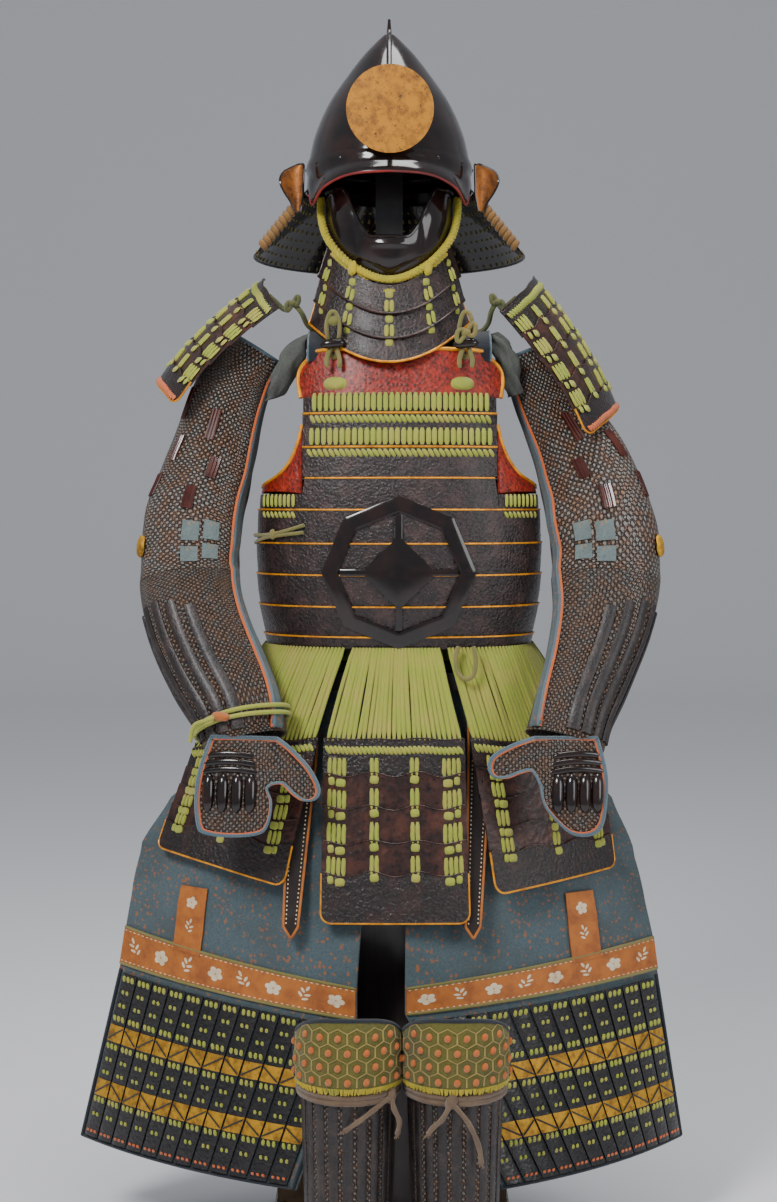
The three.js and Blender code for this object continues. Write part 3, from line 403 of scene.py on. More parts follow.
def smooth_lacquer(name, base, rim, roughness):
    """Polished lacquer: a deep colour under a clear coat, with long soft waves and dust."""
    s = Surface(name, Coat_Weight=0.35, Coat_Roughness=0.05, Specular_IOR_Level=0.35)
    s.colour(s.blend(s.ramp(s.noise(38, 4), (0.42, 0.0), (0.62, 1.0)), base, rim))
    s.roughness(s.ramp(s.noise(9, 5), (0.3, roughness), (0.75, roughness + 0.14)))
    s.bump(s.noise(45, 2), 0.6)
    return s.material


def crinkled_lacquer(name, ground, high, worn, size, depth, roughness):
    """Lacquer over crinkled leather, with painted shade (its second colour) darkening its creases, and rubbed
    in patches.
    """
    s = Surface(name, Coat_Weight=0.12, Coat_Roughness=0.25, Specular_IOR_Level=0.45)
    creases = s.cells(size, feature="SMOOTH_F1").outputs["Distance"]
    pebbles = s.math("SUBTRACT", s.math("ADD", creases, s.noise(size * 0.8, 4, 0.6)), 0.35)
    # Painted shade: the second colour, high, darkens the crinkle pattern that also makes the relief.
    tone = s.blend(s.ramp(pebbles, (0.3, 0.0), (0.85, 1.0)), high, ground)
    patches = s.ramp(s.noise(26, 5, 0.65), (0.48, 0.0), (0.66, 1.0))
    s.colour(s.blend(s.math("MULTIPLY", patches, 0.6), tone, worn))
    s.roughness(s.ramp(s.noise(5, 3), (0.3, roughness - 0.08), (0.7, roughness + 0.14)))
    s.bump(pebbles, -depth, s.bump(s.noise(24, 3), 0.8))
    return s.material


def gilt(name, base, brown, specks, roughness, metal):
    """Old gold leaf: worn to brown in patches, with a few dark specks."""
    s = Surface(name, Metallic=metal)
    worn = s.ramp(s.noise(14, 6, 0.7), (0.44, 0.0), (0.62, 0.8))
    tone = s.blend(worn, base, brown)
    dots = s.ramp(s.noise(6, 4, 0.75), (0.6, 0.0), (0.68, 1.0))
    s.colour(s.blend(s.math("MULTIPLY", dots, specks), tone, (0.03, 0.015, 0.008)))
    s.roughness(s.ramp(s.noise(6, 4), (0.3, roughness), (0.8, roughness + 0.25)))
    s.bump(s.noise(3.5, 4), 0.18)
    return s.material


def braid(name, base, shade, fade, pitch=1.7, roughness=0.8):
    """Flat silk braid: slanted ribs along the cord with painted shade between them, stained and faded from
    place to place.
    """
    s = Surface(name, Roughness=roughness, Sheen_Weight=0.25, Sheen_Roughness=0.5)
    split = s.node("SeparateXYZ", {"Vector": s.uv})
    across = s.math("ABSOLUTE", split.outputs["X"])
    slant = s.math("ADD", s.math("MULTIPLY", across, 1.2), split.outputs["Y"])
    ribs = s.math("SINE", s.math("MULTIPLY", slant, 2 * math.pi / (pitch * MM)))
    rib = s.math("MULTIPLY_ADD", ribs, 0.5, 0.5)
    tone = s.blend(s.ramp(s.noise(30, 4, 0.6), (0.4, 0.0), (0.68, 1.0)), base, fade)
    # Painted shade: the shade colour darkens the grooves between the ribs.
    s.colour(s.blend(s.math("MULTIPLY", s.math("SUBTRACT", 1.0, rib), 0.55), tone, shade))
    s.bump(s.math("ADD", rib, s.noise(0.9, 2)), 0.3)
    return s.material


def woven(name, base, second, thread):
    """Plain weave in one colour with slubs, and soil in large soft patches."""
    s = Surface(name, Roughness=0.9, Sheen_Weight=0.15)
    split = s.node("SeparateXYZ", {"Vector": s.uv})
    waves = [s.math("SINE", s.math("MULTIPLY", split.outputs[axis], 2 * math.pi / (thread * MM)))
             for axis in "XY"]
    weave = s.math("MULTIPLY_ADD", s.math("MULTIPLY", *waves), 0.5, 0.5)
    tone = s.blend(s.ramp(s.noise(3, 4, 0.7), (0.35, 0.0), (0.7, 1.0)), base, second)
    soiled = s.blend(s.ramp(s.noise(60, 4), (0.5, 0.0), (0.8, 0.6)), tone, SOIL)
    s.colour(s.blend(s.math("MULTIPLY", weave, 0.35), soiled, base, "MULTIPLY"))
    s.bump(weave, 0.25)
    return s


def patterned_cloth(name, base, second, sprig):
    """Woven cloth with small rust sprigs printed all over it."""
    s = woven(name, base, second, 1.1)
    cells = s.cells(6.5, vector=s.moved(260.0, 0.006))
    marks = s.ramp(cells.outputs["Distance"], (0.22, 1.0), (0.4, 0.0))
    lot = s.node("SeparateXYZ", {"Vector": cells.outputs["Color"]}).outputs["X"]
    shown = s.ramp(lot, (0.42, 0.0), (0.5, 1.0))
    faded = s.ramp(s.noise(34, 4), (0.35, 0.45), (0.7, 0.95))
    ground = s.shader.inputs["Base Color"].links[0].from_socket
    s.colour(s.blend(s.math("MULTIPLY", s.math("MULTIPLY", marks, shown), faded), ground, sprig))
    return s.material


def mail(name, link, cloth, second, pitch, gaps):
    """Interlocked dark links over cloth, which shows through the openings of the mesh."""
    s = Surface(name, Specular_IOR_Level=0.6)
    moved = s.moved(32.0, 0.009)
    rings = []
    for shift in (0, 0.5):
        scaled = s.vector("MULTIPLY_ADD", moved, (1 / (pitch * MM),) * 3, (shift, shift, 0))
        middle = s.vector("SUBTRACT", s.vector("FRACTION", scaled), (0.5, 0.5, 0))
        reach = s.node("VectorMath", {0: middle}, operation="LENGTH").outputs["Value"]
        far = s.math("ABSOLUTE", s.math("SUBTRACT", reach, 0.33))
        rings.append(s.ramp(far, (0.0, 1.0), (0.17, 0.0)))
    mesh = s.math("MAXIMUM", *rings)
    under = s.blend(s.ramp(s.noise(16, 4), (0.42, 0.0), (0.6, 1.0)), cloth, second)
    rust = s.blend(s.ramp(s.noise(7, 4, 0.7), (0.45, 0.0), (0.62, 1.0)), link, (0.07, 0.032, 0.018))
    cover = s.ramp(mesh, (0.16, 0.0), (0.4, 1.0))
    worn = s.math("MULTIPLY", s.math("SUBTRACT", 1.0, cover), gaps)
    s.colour(s.blend(worn, rust, under))
    s.roughness(s.ramp(cover, (0.2, 0.85), (0.7, 0.36)))
    s.bump(mesh, 1.7, s.bump(s.noise(11, 3), 0.8))
    return s.material


def leather(name, base, dark):
    """Dyed hide with fine grain, darkened where it is handled."""
    s = Surface(name, Roughness=0.6)
    tone = s.blend(s.ramp(s.noise(24, 5, 0.65), (0.42, 0.0), (0.72, 1.0)), base, dark)
    s.colour(s.blend(s.ramp(s.noise(1.6, 3), (0.4, 0.25), (0.65, 0.0)), tone, dark))
    s.bump(s.noise(1.4, 3), 0.15)
    return s.material


def wood(name, base, dark, coat):
    """Lacquered board with faint upright grain under the coat."""
    s = Surface(name, Coat_Weight=coat, Coat_Roughness=0.15)
    grain = s.noise(5, 5, 0.6, vector=s.vector("MULTIPLY", s.place, (1, 1, 0.06)))
    s.colour(s.blend(s.ramp(grain, (0.38, 0.0), (0.62, 1.0)), base, dark))
    s.roughness(s.ramp(s.noise(20, 4), (0.3, 0.3), (0.7, 0.48)))
    s.bump(grain, 0.15)
    return s.material


# Colours are linear; the sizes and depths of each pattern are in millimetres.
BLACK = smooth_lacquer("black_lacquer", (0.006, 0.004, 0.004), (0.016, 0.007, 0.006), 0.1)
VISOR_RED = smooth_lacquer("visor_red", (0.24, 0.012, 0.01), (0.1, 0.01, 0.01), 0.3)
# Second colour of each crinkled lacquer below: painted shade in its creases.
BROWN = crinkled_lacquer("brown_lacquer", (0.026, 0.015, 0.014), (0.006, 0.003, 0.003), (0.06, 0.03, 0.026),
                         3.8, 1.3, 0.3)
DARK = crinkled_lacquer("dark_lacquer", (0.016, 0.008, 0.0065), (0.004, 0.002, 0.002), (0.036, 0.013, 0.009),
                         4.2, 1.3, 0.28)
RUST = crinkled_lacquer("rust_lacquer", (0.034, 0.01, 0.006), (0.01, 0.003, 0.002), (0.09, 0.026, 0.014),
                         8, 0.8, 0.32)
PITCH = crinkled_lacquer("pitch_lacquer", (0.008, 0.006, 0.007), (0.002, 0.002, 0.002), (0.014, 0.009, 0.009),
                         5, 0.5, 0.26)
RED = crinkled_lacquer("red_lacquer", (0.3, 0.009, 0.0), (0.05, 0.003, 0.0), (0.34, 0.024, 0.001),
                         4.6, 1.2, 0.4)
GILT = gilt("gilt", (0.42, 0.16, 0.0), (0.15, 0.05, 0.0), 1.0, 0.5, 0.1)
RIM = gilt("gilt_rim", (0.78, 0.31, 0.004), (0.4, 0.12, 0.004), 0.4, 0.34, 0.4)
SHELL = gilt("turnback_gilt", (0.26, 0.08, 0.008), (0.04, 0.012, 0.004), 1.0, 0.36, 0.5)
# Second colour of each braid below: painted shade between its ribs.
LACE = braid("green_lace", (0.37, 0.42, 0.035), (0.1, 0.125, 0.012), (0.46, 0.4, 0.07))
OLIVE = braid("olive_cord", (0.2, 0.19, 0.035), (0.05, 0.046, 0.01), (0.28, 0.2, 0.05))
CHIN = braid("chin_braid", (0.62, 0.46, 0.006), (0.1, 0.085, 0.002), (0.4, 0.38, 0.015), 2.6)
TAN = braid("tan_cord", (0.24, 0.11, 0.012), (0.06, 0.025, 0.004), (0.16, 0.07, 0.01), 2.6)
ORANGE = braid("orange_lace", (0.66, 0.12, 0.015), (0.22, 0.03, 0.006), (0.55, 0.15, 0.04))
MOSS = braid("moss_cord", (0.06, 0.075, 0.014), (0.016, 0.02, 0.005), (0.15, 0.14, 0.03))
BLACK_CORD = braid("black_cord", (0.01, 0.008, 0.009), (0.003, 0.003, 0.003), (0.02, 0.016, 0.018))
BLUE_EDGE = braid("blue_piping", (0.085, 0.15, 0.19), (0.02, 0.04, 0.06), (0.14, 0.18, 0.2))
HEMP = braid("hemp", (0.15, 0.09, 0.05), (0.045, 0.026, 0.014), (0.22, 0.14, 0.08), 1.4, 0.9)
TEAL = patterned_cloth("blue_cloth", (0.085, 0.125, 0.14), (0.05, 0.08, 0.092), (0.3, 0.1, 0.025))
PALE_CLOTH = patterned_cloth("pale_blue_cloth", (0.17, 0.215, 0.215), (0.11, 0.145, 0.145), (0.24, 0.17, 0.09))
LINING = woven("grey_lining", (0.1, 0.105, 0.09), (0.05, 0.055, 0.05), 1.4).material
NAVY = woven("navy_cloth", (0.012, 0.018, 0.03), (0.006, 0.009, 0.014), 1.2).material
STRAP_CLOTH = woven("strap_cloth", (0.016, 0.007, 0.005), (0.008, 0.004, 0.003), 1.2).material
BAND = leather("orange_leather", (0.42, 0.125, 0.012), (0.2, 0.05, 0.007))
PRINT = leather("white_print", (0.66, 0.56, 0.4), (0.5, 0.34, 0.18))
UPPER_MAIL = mail("mail_cloth", (0.02, 0.009, 0.006), (0.17, 0.19, 0.175), (0.22, 0.12, 0.065), 9.2, 0.95)
FORE_MAIL = mail("forearm_mail", (0.018, 0.008, 0.006), (0.15, 0.095, 0.055), (0.1, 0.115, 0.105), 8.0, 0.85)
# Second colour: painted shade in the creases.
SPLINTS = crinkled_lacquer("splint_lacquer", (0.02, 0.013, 0.013), (0.006, 0.004, 0.004), (0.05, 0.03, 0.026),
                         3.0, 0.6, 0.46)
RIBBED = smooth_lacquer("ribbed_plate", (0.04, 0.006, 0.004), (0.07, 0.016, 0.01), 0.24)
BROCADE = woven("brocade", (0.15, 0.13, 0.018), (0.075, 0.075, 0.01), 2.0).material
THREAD = braid("gold_thread", (0.46, 0.34, 0.07), (0.14, 0.09, 0.015), (0.34, 0.24, 0.05), 1.2)
KNOT = braid("orange_knot", (0.6, 0.13, 0.008), (0.24, 0.045, 0.004), (0.5, 0.17, 0.03), 1.2)
CHEST_WOOD = wood("chest_wood", (0.022, 0.007, 0.005), (0.009, 0.003, 0.002), 0.5)
STAND_WOOD = wood("stand_wood", (0.008, 0.007, 0.007), (0.004, 0.003, 0.003), 0.3)
BRASS = gilt("brass", (0.5, 0.26, 0.012), (0.16, 0.07, 0.006), 0.6, 0.42, 0.45)
BRONZE = gilt("dark_bronze", (0.05, 0.028, 0.01), (0.018, 0.01, 0.005), 0.5, 0.4, 0.6)

# Cuirass surface: half width, depth in front and behind, squared off like a real trunk.
TORSO = [  # height, half width, depth in front, depth behind
    (843, 186, 125, 115), (930, 199, 140, 120), (1040, 197, 140, 125), (1120, 178, 132, 120),
    (1200, 166, 120, 112), (1262, 158, 106, 102),
]
SQUARE = 2.4
LAME_STEP = 1.8  # how far the upper edge of a cuirass lame stands out
SEAM = 88.5  # angle from the front where the front and back lames meet


def squared(value, power=2 / SQUARE):
    """Sine or cosine bent so that an oval becomes squarer."""
    return math.copysign(abs(value) ** power, value)


def torso_point(turn, z, off):
    """Point round the cuirass: its angle from the front, height and distance outside it."""
    sin, cos = math.sin(math.radians(turn)), math.cos(math.radians(turn))
    _, a, front, back = between(TORSO, z)
    depth = front if cos > 0 else back
    nx, ny = (squared(s, 2 - 2 / SQUARE) for s in (sin, -cos))
    normal = V(nx / 197, ny / 140, 0).normalized()
    return V(TORSO_X + a * squared(sin), -depth * squared(cos), z) + normal * off


def turn_at(x, z):
    """Angle round the front of the cuirass that lies at an X."""
    half = between(TORSO, z)[1]
    return math.degrees(math.asin(squared(clamp((x - TORSO_X) / half, -1, 1), SQUARE / 2)))


def torso_at(x, z, off):
    """Point of the front of the cuirass at X and Z."""
    return torso_point(turn_at(x, z), z, off)


def on_lame(x, z, off):
    """Point in front of a lame's upper edge, which laces and plates lie on."""
    return torso_at(x, z, off + LAME_STEP)


def edging(shape, at, line, width, height, lift, tilt):
    """Thin rolled edge along a line of (u, v) on a surface, turned up by its tilt."""
    outs = [(normal_of(at, u, v) + V(0, 0, tilt)).normalized() for u, v in line]
    shape.ribbon([at(u, v, lift) for u, v in line], outs, width, height, 4, 0.8)


def cord_row(shape, at, us, top, foot, width, height):
    """Upright flat cords side by side, each from `top` to `foot` on a surface."""
    for u in us:
        sway = chance.uniform(-0.4, 0.4)
        line = [(u + sway * math.sin(3 * t), mix(top, foot, t)) for t in steps(0, 1, 5)]
        lift = [0.4, 0.9, 1.0, 1.0, 0.9, 0.4]
        path = [at(x, z, height * 0.15 * k) for (x, z), k in zip(line, lift)]
        shape.ribbon(path, [normal_of(at, x, z) for x, z in line], width, height, 6, 0.55)


def stitch_row(shape, at, us, v, slant, length, width, height):
    """Row of slanted stitches; slant is the lean of each one along the row."""
    for u in us:
        centre, normal = at(u, v, 0), normal_of(at, u, v)
        across = (at(u + 0.01, v, 0) - centre).normalized()
        along = normal.cross(across)
        lean = (along + across * (slant + chance.uniform(-0.08, 0.08))).normalized()
        shape.pad(centre, lean, normal, length / 2, width / 2, height, 2.3, 8)


# Front of the cuirass: lames across the belly, each with a gilt upper edge.
FRONT_EDGES = [847, 864, 906, 949, 992, 1038, 1081]
CHEST_X = (-122, 143)  # sides of the narrow chest lames between the side plates
SIDE_TOP = 1058


def lame_on_trunk(shape, rim, turns, low, high):
    """Lame between two angles and two heights, with a gilt upper edge where rim is given."""
    def at(u, v, off):
        z = mix(high, low + 0.4, v)
        p = torso_point(mix(*turns, u), z, off + mix(LAME_STEP, 0, v))
        return p + V(0, rough(p, 30, 0.5), 0)
    shape.shell(at, steps(0, 1, 60), steps(0, 1, 6), LACQUER)
    if rim:
        edging(rim, at, [(u, 0.02) for u in steps(0.002, 0.998, 60)], 2.6, 1.1, 0.1, 0.5)


front, rims = Shape(), Shape()
for low, high in zip(FRONT_EDGES, FRONT_EDGES[1:-1]):
    lame_on_trunk(front, rims, (-SEAM, SEAM), low, high)
middle_turns = [turn_at(x, SIDE_TOP) for x in CHEST_X]
lame_on_trunk(front, rims, middle_turns, FRONT_EDGES[-2], FRONT_EDGES[-1])
lame_on_trunk(front, None, (-SEAM, middle_turns[0] - 0.2), FRONT_EDGES[-2], SIDE_TOP)
lame_on_trunk(front, None, (middle_turns[1] + 0.2, SEAM), FRONT_EDGES[-2], SIDE_TOP)
front.piece("cuirass_front_lames", BROWN, "brown_lacquer", "cuirass_front")
rims.piece("cuirass_rims", RIM, "gilt")

# Back of the cuirass, cut away at both arms.
BACK_EDGES = [847, 924, 1002, 1081, 1240]
BACK_HALF = [(1050, 240), (1060, 176), (1110, 140), (1200, 124), (1236, 110)]  # height, half width
back, rims = Shape(), Shape()
for low, high in zip(BACK_EDGES, BACK_EDGES[1:]):
    def at(u, v, off, low=low, high=high):
        z = min(mix(high, low + 0.4, v), BACK_HALF[-1][0])
        turn = min(SEAM, turn_at(TORSO_X + between(BACK_HALF, z)[1], z))
        return torso_point(180 - mix(turn, -turn, u), z, off + mix(LAME_STEP, 0, v))
    back.shell(at, steps(0, 1, 48), steps(0, 1, 16 if high > 1100 else 6), LACQUER)
    edging(rims, at, [(u, 0.02) for u in steps(0.002, 0.998, 48)], 2.6, 1.1, 0.1, 0.5)
back.piece("cuirass_back_lames", BROWN, "brown_lacquer", "cuirass_back")
rims.piece("cuirass_back_rims", RIM, "gilt")

# Two narrow lames on the chest with their bands of lacing.
CHEST_EDGES = [1081.5, 1123, 1169]
chest, rims = Shape(), Shape()
for low, high in zip(CHEST_EDGES, CHEST_EDGES[1:]):
    def at(u, v, off, low=low, high=high):
        return torso_at(mix(*CHEST_X, u), mix(high, low + 0.4, v), off + mix(LAME_STEP, 0, v))
    chest.shell(at, steps(0, 1, 48), steps(0, 1, 6), LACQUER)
    edging(rims, at, [(u, 0.02) for u in steps(0.002, 0.998, 48)], 3.2, 1.8, 0.2, 0.5)
chest.shell(lambda u, v, off: torso_at(mix(*CHEST_X, u), mix(1196, 1169.4, v), off),
            steps(0, 1, 48), steps(0, 1, 3), 2)
chest.piece("chest_lames", BROWN, "brown_lacquer", "chest_lame")
rims.piece("chest_rims", RIM, "gilt")

CHEST_CORDS = 30
for name, x0, x1, top, foot in (("upper", -109, 132, 1196, 1171), ("lower", -113, 136, 1148, 1125)):
    cords = Shape()
    width = (x1 - x0) / CHEST_CORDS - 0.9
    cord_row(cords, on_lame, spread(x0, x1, CHEST_CORDS), top, foot, width, 3.0)
    stitch_row(cords, on_lame, spread(x0 - 2, x1 + 2, 34), foot - 11, -0.75, 14, 6.2, 3.0)
    cords.piece(f"chest_lacing_{name}_cords", LACE, "green_lace", f"chest_lacing_{name}")

# Red chest plate and side plates with rolled gilt-brown edges.
PLATE_OUTLINE = [
    (-124, 1190), (-128, 1214), (-124, 1232), (-108, 1247), (-84, 1255), (104, 1255), (128, 1247),
    (146, 1232), (151, 1214), (148, 1190),
]
SIDE_OUTLINE = [
    (-123, 1059), (-123, 1153), (-128, 1130), (-138, 1106), (-154, 1086), (-177, 1072), (-186, 1066),
    (-186, 1059),
]
SIDE_PLATE_OFF = 1.4


def smooth_outline(points, count):
    """Closed outline whose first and last points stay sharp corners."""
    return [(p.x, p.z) for p in smooth_line([V(x, 0, z) for x, z in points], count)]


def rolled_edge(shape, line, at, radius):
    shape.tube([at(x, z, 0) for x, z in line], radius, 8)


plate_line = smooth_outline(PLATE_OUTLINE, 60)
red = Shape()
red.plate(plate_line, on_lame, 2.6, 7)
red.piece("chest_plate_lacquer", RED, "red_lacquer", "chest_plate")
rim = Shape()
rolled_edge(rim, plate_line, on_lame, 2.8)


def on_side(x, z, off):
    return torso_at(x, z, off + SIDE_PLATE_OFF)


for side, sign in SIDES.items():
    curve = smooth_outline(SIDE_OUTLINE[1:-1], 30)
    line = [(x if sign < 0 else 2 * TORSO_X + 1 - x, z) for x, z in [SIDE_OUTLINE[0], *curve, SIDE_OUTLINE[-1]]]
    if sign > 0:
        line.reverse()
    plate = Shape()
    plate.plate(line, on_side, 2.4, 6)
    plate.piece(f"side_plate_{side}_lacquer", RED, "red_lacquer", f"side_plate_{side}")
    rolled_edge(rim, line[1:-1], on_side, 2.4)
rim.piece("red_plate_rims", RIM, "gilt")

# Pads of lacing on the chest plate, side bands of lacing and a small tied cord.
pads = Shape()
for x in (-77, 95):
    normal = normal_of(on_lame, x, 1208)
    for lift, size in ((0, 1.0), (2.6, 0.8)):
        pads.pad(on_lame(x, 1208, lift), V(1, 0, 0), normal, 17 * size, 9.5 * size, 3.6, 2.2, 20, 4)
for x0, x1 in ((-178, -131), (152, 199)):
    cord_row(pads, on_lame, spread(x0, x1, 8), SIDE_TOP, 1041, 5.2, 2.6)
    stitch_row(pads, on_lame, spread(x0, x1, 8), 1030, -0.7, 11, 5.2, 2.6)
pads.piece("chest_small_lacing", LACE, "green_lace")

TIE_TAILS = [  # ends of the tied cord in X and Z, on the left of the cuirass
    [(-188, 1001), (-170, 1002), (-150, 1006), (-118, 1016)],
    [(-187, 991), (-172, 998), (-150, 1002), (-119, 1006)],
]
tie = Shape()
for tail in TIE_TAILS:
    path = [torso_at(x, z, 4.2) for x, z in tail]
    tie.tube(smooth_line(path, 16), 2.7, 8)
tie.pad(torso_at(-160, 1003, 5.5), V(0, 0, 1), normal_of(torso_at, -160, 1003), 7.5, 5.5, 4)
loop = [V(*p) for p in ((90, -137, 852), (86, -139, 838), (88, -141, 818), (99, -144, 808), (110, -142, 814),
                        (113, -139, 834), (110, -136, 852))]
tie.tube(smooth_line(loop, 28), 3.1, 8)
tie.piece("cuirass_ties", OLIVE, "green_lace")

# Polished ornament: an eight-sided frame tied by four bars to a lozenge, slightly domed.
ORNAMENT = {"x": 9, "z": 952, "outer": 104, "inner": 82, "lozenge": 50, "bar": 9}
ORNAMENT_OFF = LAME_STEP + 2.7


def eight_sided(angle, radius):
    """Point on an eight-sided frame, by its angle in degrees."""
    turn = (angle % 45) - 22.5
    reach = radius * math.cos(math.radians(22.5)) / math.cos(math.radians(turn))
    return reach * math.cos(math.radians(angle)), reach * math.sin(math.radians(angle))


def ornament_at(x, z, off):
    """Point of the ornament, in X and Z from its middle."""
    return torso_at(ORNAMENT["x"] + x, ORNAMENT["z"] + z, off + ORNAMENT_OFF)


def frame_at(u, v, off):
    x, z = eight_sided(360 * u, mix(ORNAMENT["outer"], ORNAMENT["inner"], v))
    return ornament_at(x, z, off + 0.9 * (1 - (2 * v - 1) ** 6))


def lozenge_at(x, z, off):
    edge = (abs(x) + abs(z)) / ORNAMENT["lozenge"]
    return ornament_at(x, z, off + 1.6 * (1 - edge**4))


ornament = Shape()
ornament.shell(frame_at, steps(0, 1, 160)[:-1], steps(0, 1, 8), 3, around=True)
size, half = ORNAMENT["lozenge"], ORNAMENT["bar"] / 2
reach = ORNAMENT["inner"] * math.cos(math.radians(22.5)) + 3
corners = [(size, 0), (0, size), (-size, 0), (0, -size)]
sides = [[(mix(a[0], b[0], t), mix(a[1], b[1], t)) for t in steps(0, 1, 16)[:-1]]
         for a, b in zip(corners, corners[1:] + corners[:1])]
ornament.plate(sum(sides, []), lozenge_at, 3, 5)
for x0, x1, z0, z1 in ((size - 6, reach, -half, half), (-reach, 6 - size, -half, half),
                       (-half, half, size - 6, reach), (-half, half, -reach, 6 - size)):
    def at(u, v, off, x0=x0, x1=x1, z0=z0, z1=z1):
        x, z = mix(x0, x1, u), mix(z1, z0, v)
        edge = (z / half) if x1 - x0 > z1 - z0 else (x / half)
        return ornament_at(x, z, off + 0.7 * (1 - edge**4) - 0.2)
    ornament.shell(at, steps(0, 1, 8), steps(0, 1, 8), 2.6)
ornament.piece("lacquer_ornament_polished", BLACK, "black_lacquer", "lacquer_ornament", 30)

# Lacing that hangs the skirt from the cuirass, and the skirt's panels of lames.
SKIRT_TOP = 846.5


def panel(corners, bulge, arch=0):
    """Curved panel between four corners, as seen from outside: two at the top, two below."""
    tl, tr, bl, br = (V(*c) for c in corners)
    normal = (bl + br - tl - tr).cross(tr + br - tl - bl).normalized()

    def at(u, v, off):
        level = tl.lerp(tr, u).lerp(bl.lerp(br, u), v)
        return level + normal * (off + bulge * (1 - (2 * u - 1) ** 2) + arch * 4 * v * (1 - v))
    return at


TASSETS = {  # bulge and corners, in order round the waist
    "front": (9, [(-93, -150, 729), (98, -150, 729), (-96, -187, 484), (104, -187, 484)]),
    "front_right": (12, [(104, -148, 729), (290, -30, 698), (141, -170, 519), (314, -55, 537)]),
    "side_right": (12, [(291, 2, 698), (241, 98, 700), (322, 6, 540), (276, 116, 540)]),
    "back_right": (12, [(234, 102, 703), (7, 152, 725), (262, 124, 535), (9, 190, 500)]),
    "back_left": (12, [(1, 152, 725), (-222, 102, 705), (-1, 190, 500), (-250, 124, 535)]),
    "side_left": (12, [(-229, 98, 702), (-279, 2, 702), (-262, 116, 545), (-326, 4, 560)]),
    "front_left": (12, [(-280, -30, 700), (-99, -148, 729), (-330, -58, 565), (-147, -170, 530)]),
}
PANEL_EDGES = [0, 0.185, 0.365, 0.55, 0.72, 1]
WIDE = [(0.1, 4), (0.36, 2), (0.64, 2), (0.9, 4)]  # columns of lacing: place and cords in each
NARROW = [(0.13, 3), (0.5, 2), (0.87, 3)]
COLUMNS = {"front": WIDE, "front_left": NARROW, "front_right": NARROW, "side_left": [(0.2, 3), (0.8, 3)],
           "side_right": [(0.2, 3), (0.8, 3)], "back_left": WIDE, "back_right": WIDE}
LACE_WIDTH = 6.0
WAVE = 3.0  # depth of the waves in a lame's upper edge
CORNER = 14.0  # radius of a panel's lower corners
SKIRT_REACH = (280, 150)  # half width and depth of the panels' tops, which aim the cords above them


def lame_at(surface, edges, i, size):
    """Surface of one lame of a panel, with a wavy upper edge and round lower corners."""
    width, height = size
    last = i == len(edges) - 2

    def at(u, t, off):
        swing = WAVE if i else 1.0
        ripple = swing * math.cos(6 * math.pi * u) - swing + rough(V(u * width, 0, 90.0 * i), 40, 2)
        top = edges[i] - ripple / height
        foot = edges[i + 1] + (0 if last else 0.03)
        if last:
            near = min(u, 1 - u) * width
            if near < CORNER:
                foot -= (CORNER - math.sqrt(CORNER**2 - (CORNER - near) ** 2)) / height
        return surface(u, mix(max(top, 0.0), foot, t), off + mix(2.6, 0.2 if not last else 0.6, t))
    return at


def corner_steps(width):
    """Places across a panel, close together where its lower corners turn."""
    near = [CORNER / width * (1 - math.cos(a)) for a in steps(0, math.pi / 2, 7)]
    return near + steps(near[-1], 1 - near[-1], 26)[1:-1] + [1 - n for n in reversed(near)]


def dressed_panel(name, corners, surface, columns, edges, foot_stitches=False):
    """Lames, lacing and gilt rim of one hanging panel, which stands for the node of its name."""
    tl, tr, bl, br = (V(*c) for c in corners)
    width, height = ((tr - tl).length + (br - bl).length) / 2, ((bl - tl).length + (br - tr).length) / 2
    us = corner_steps(width)
    dark, russet, lace, rim, edge = Shape(), Shape(), Shape(), Shape(), Shape()
    last = len(edges) - 2
    for i in range(last + 1):
        at = lame_at(surface, edges, i, (width, height))
        (russet if 0 < i < last else dark).shell(at, us, steps(0, 1, 7), 2.0)
        edging(edge, at, [(u, 0.01) for u in steps(0.01, 0.99, 30)], 2.0, 0.9, 0.2, 0.4)
        first_loop = 0.5 if i == 0 else 0.42
        for place, cords in columns:
            for c in range(cords):
                u = place + (c - (cords - 1) / 2) * (LACE_WIDTH + 0.7) / width
                if i < last:
                    line = [(u + chance.uniform(-0.6, 0.6) / width * t, t) for t in steps(first_loop, 0.97, 5)]
                    lace.strip(at, line, 0.3, LACE_WIDTH, 2.8)
            if i > 0:
                inward = 1 if place < 0.5 else -1
                knots = [(0, 6.2)] if cords < 3 else [(-0.6 * inward, 4.4), (0.45 * inward, 7.0)]
                for shift, half in knots:
                    t = 0.2 if i < last else 0.13
                    u = place + shift * cords / 2 * LACE_WIDTH / width
                    centre, normal = at(u, t, 0.2), normal_of(at, u, t)
                    tip = V(0, 0, 1) + (tr - tl).normalized() * chance.uniform(-0.15, 0.15)
                    lace.pad(centre, tip, normal, 5.6, half, 2.8, 3.4, 12)
    top = lame_at(surface, edges, 0, (width, height))
    count = round(width / 6.4)
    stitch_row(lace, top, spread(0.02, 0.98, count), 0.3, -0.75, 14, 6.0, 3.0)
    foot = lame_at(surface, edges, last, (width, height))
    line = [*((0.0, t) for t in steps(0.05, 0.98, 8)), *((u, 1.0) for u in us),
            *((1.0, t) for t in steps(0.98, 0.05, 8))]
    rim.tube([foot(u, t, -0.8) for u, t in line], 1.5, 6)
    if foot_stitches:
        orange = Shape()
        stitch_row(orange, foot, spread(0.04, 0.96, count), 0.86, -0.6, 11, 6.0, 2.8)
        orange.piece(f"{name}_foot_stitches", ORANGE, "green_lace")
    dark.piece(f"{name}_lames", DARK, "brown_lacquer", name)
    russet.piece(f"{name}_middle_lames", RUST, "brown_lacquer")
    edge.piece(f"{name}_lame_edges", RUST, "brown_lacquer")
    lace.piece(f"{name}_lacing", LACE, "green_lace")
    rim.piece(f"{name}_rim", RIM, "gilt")


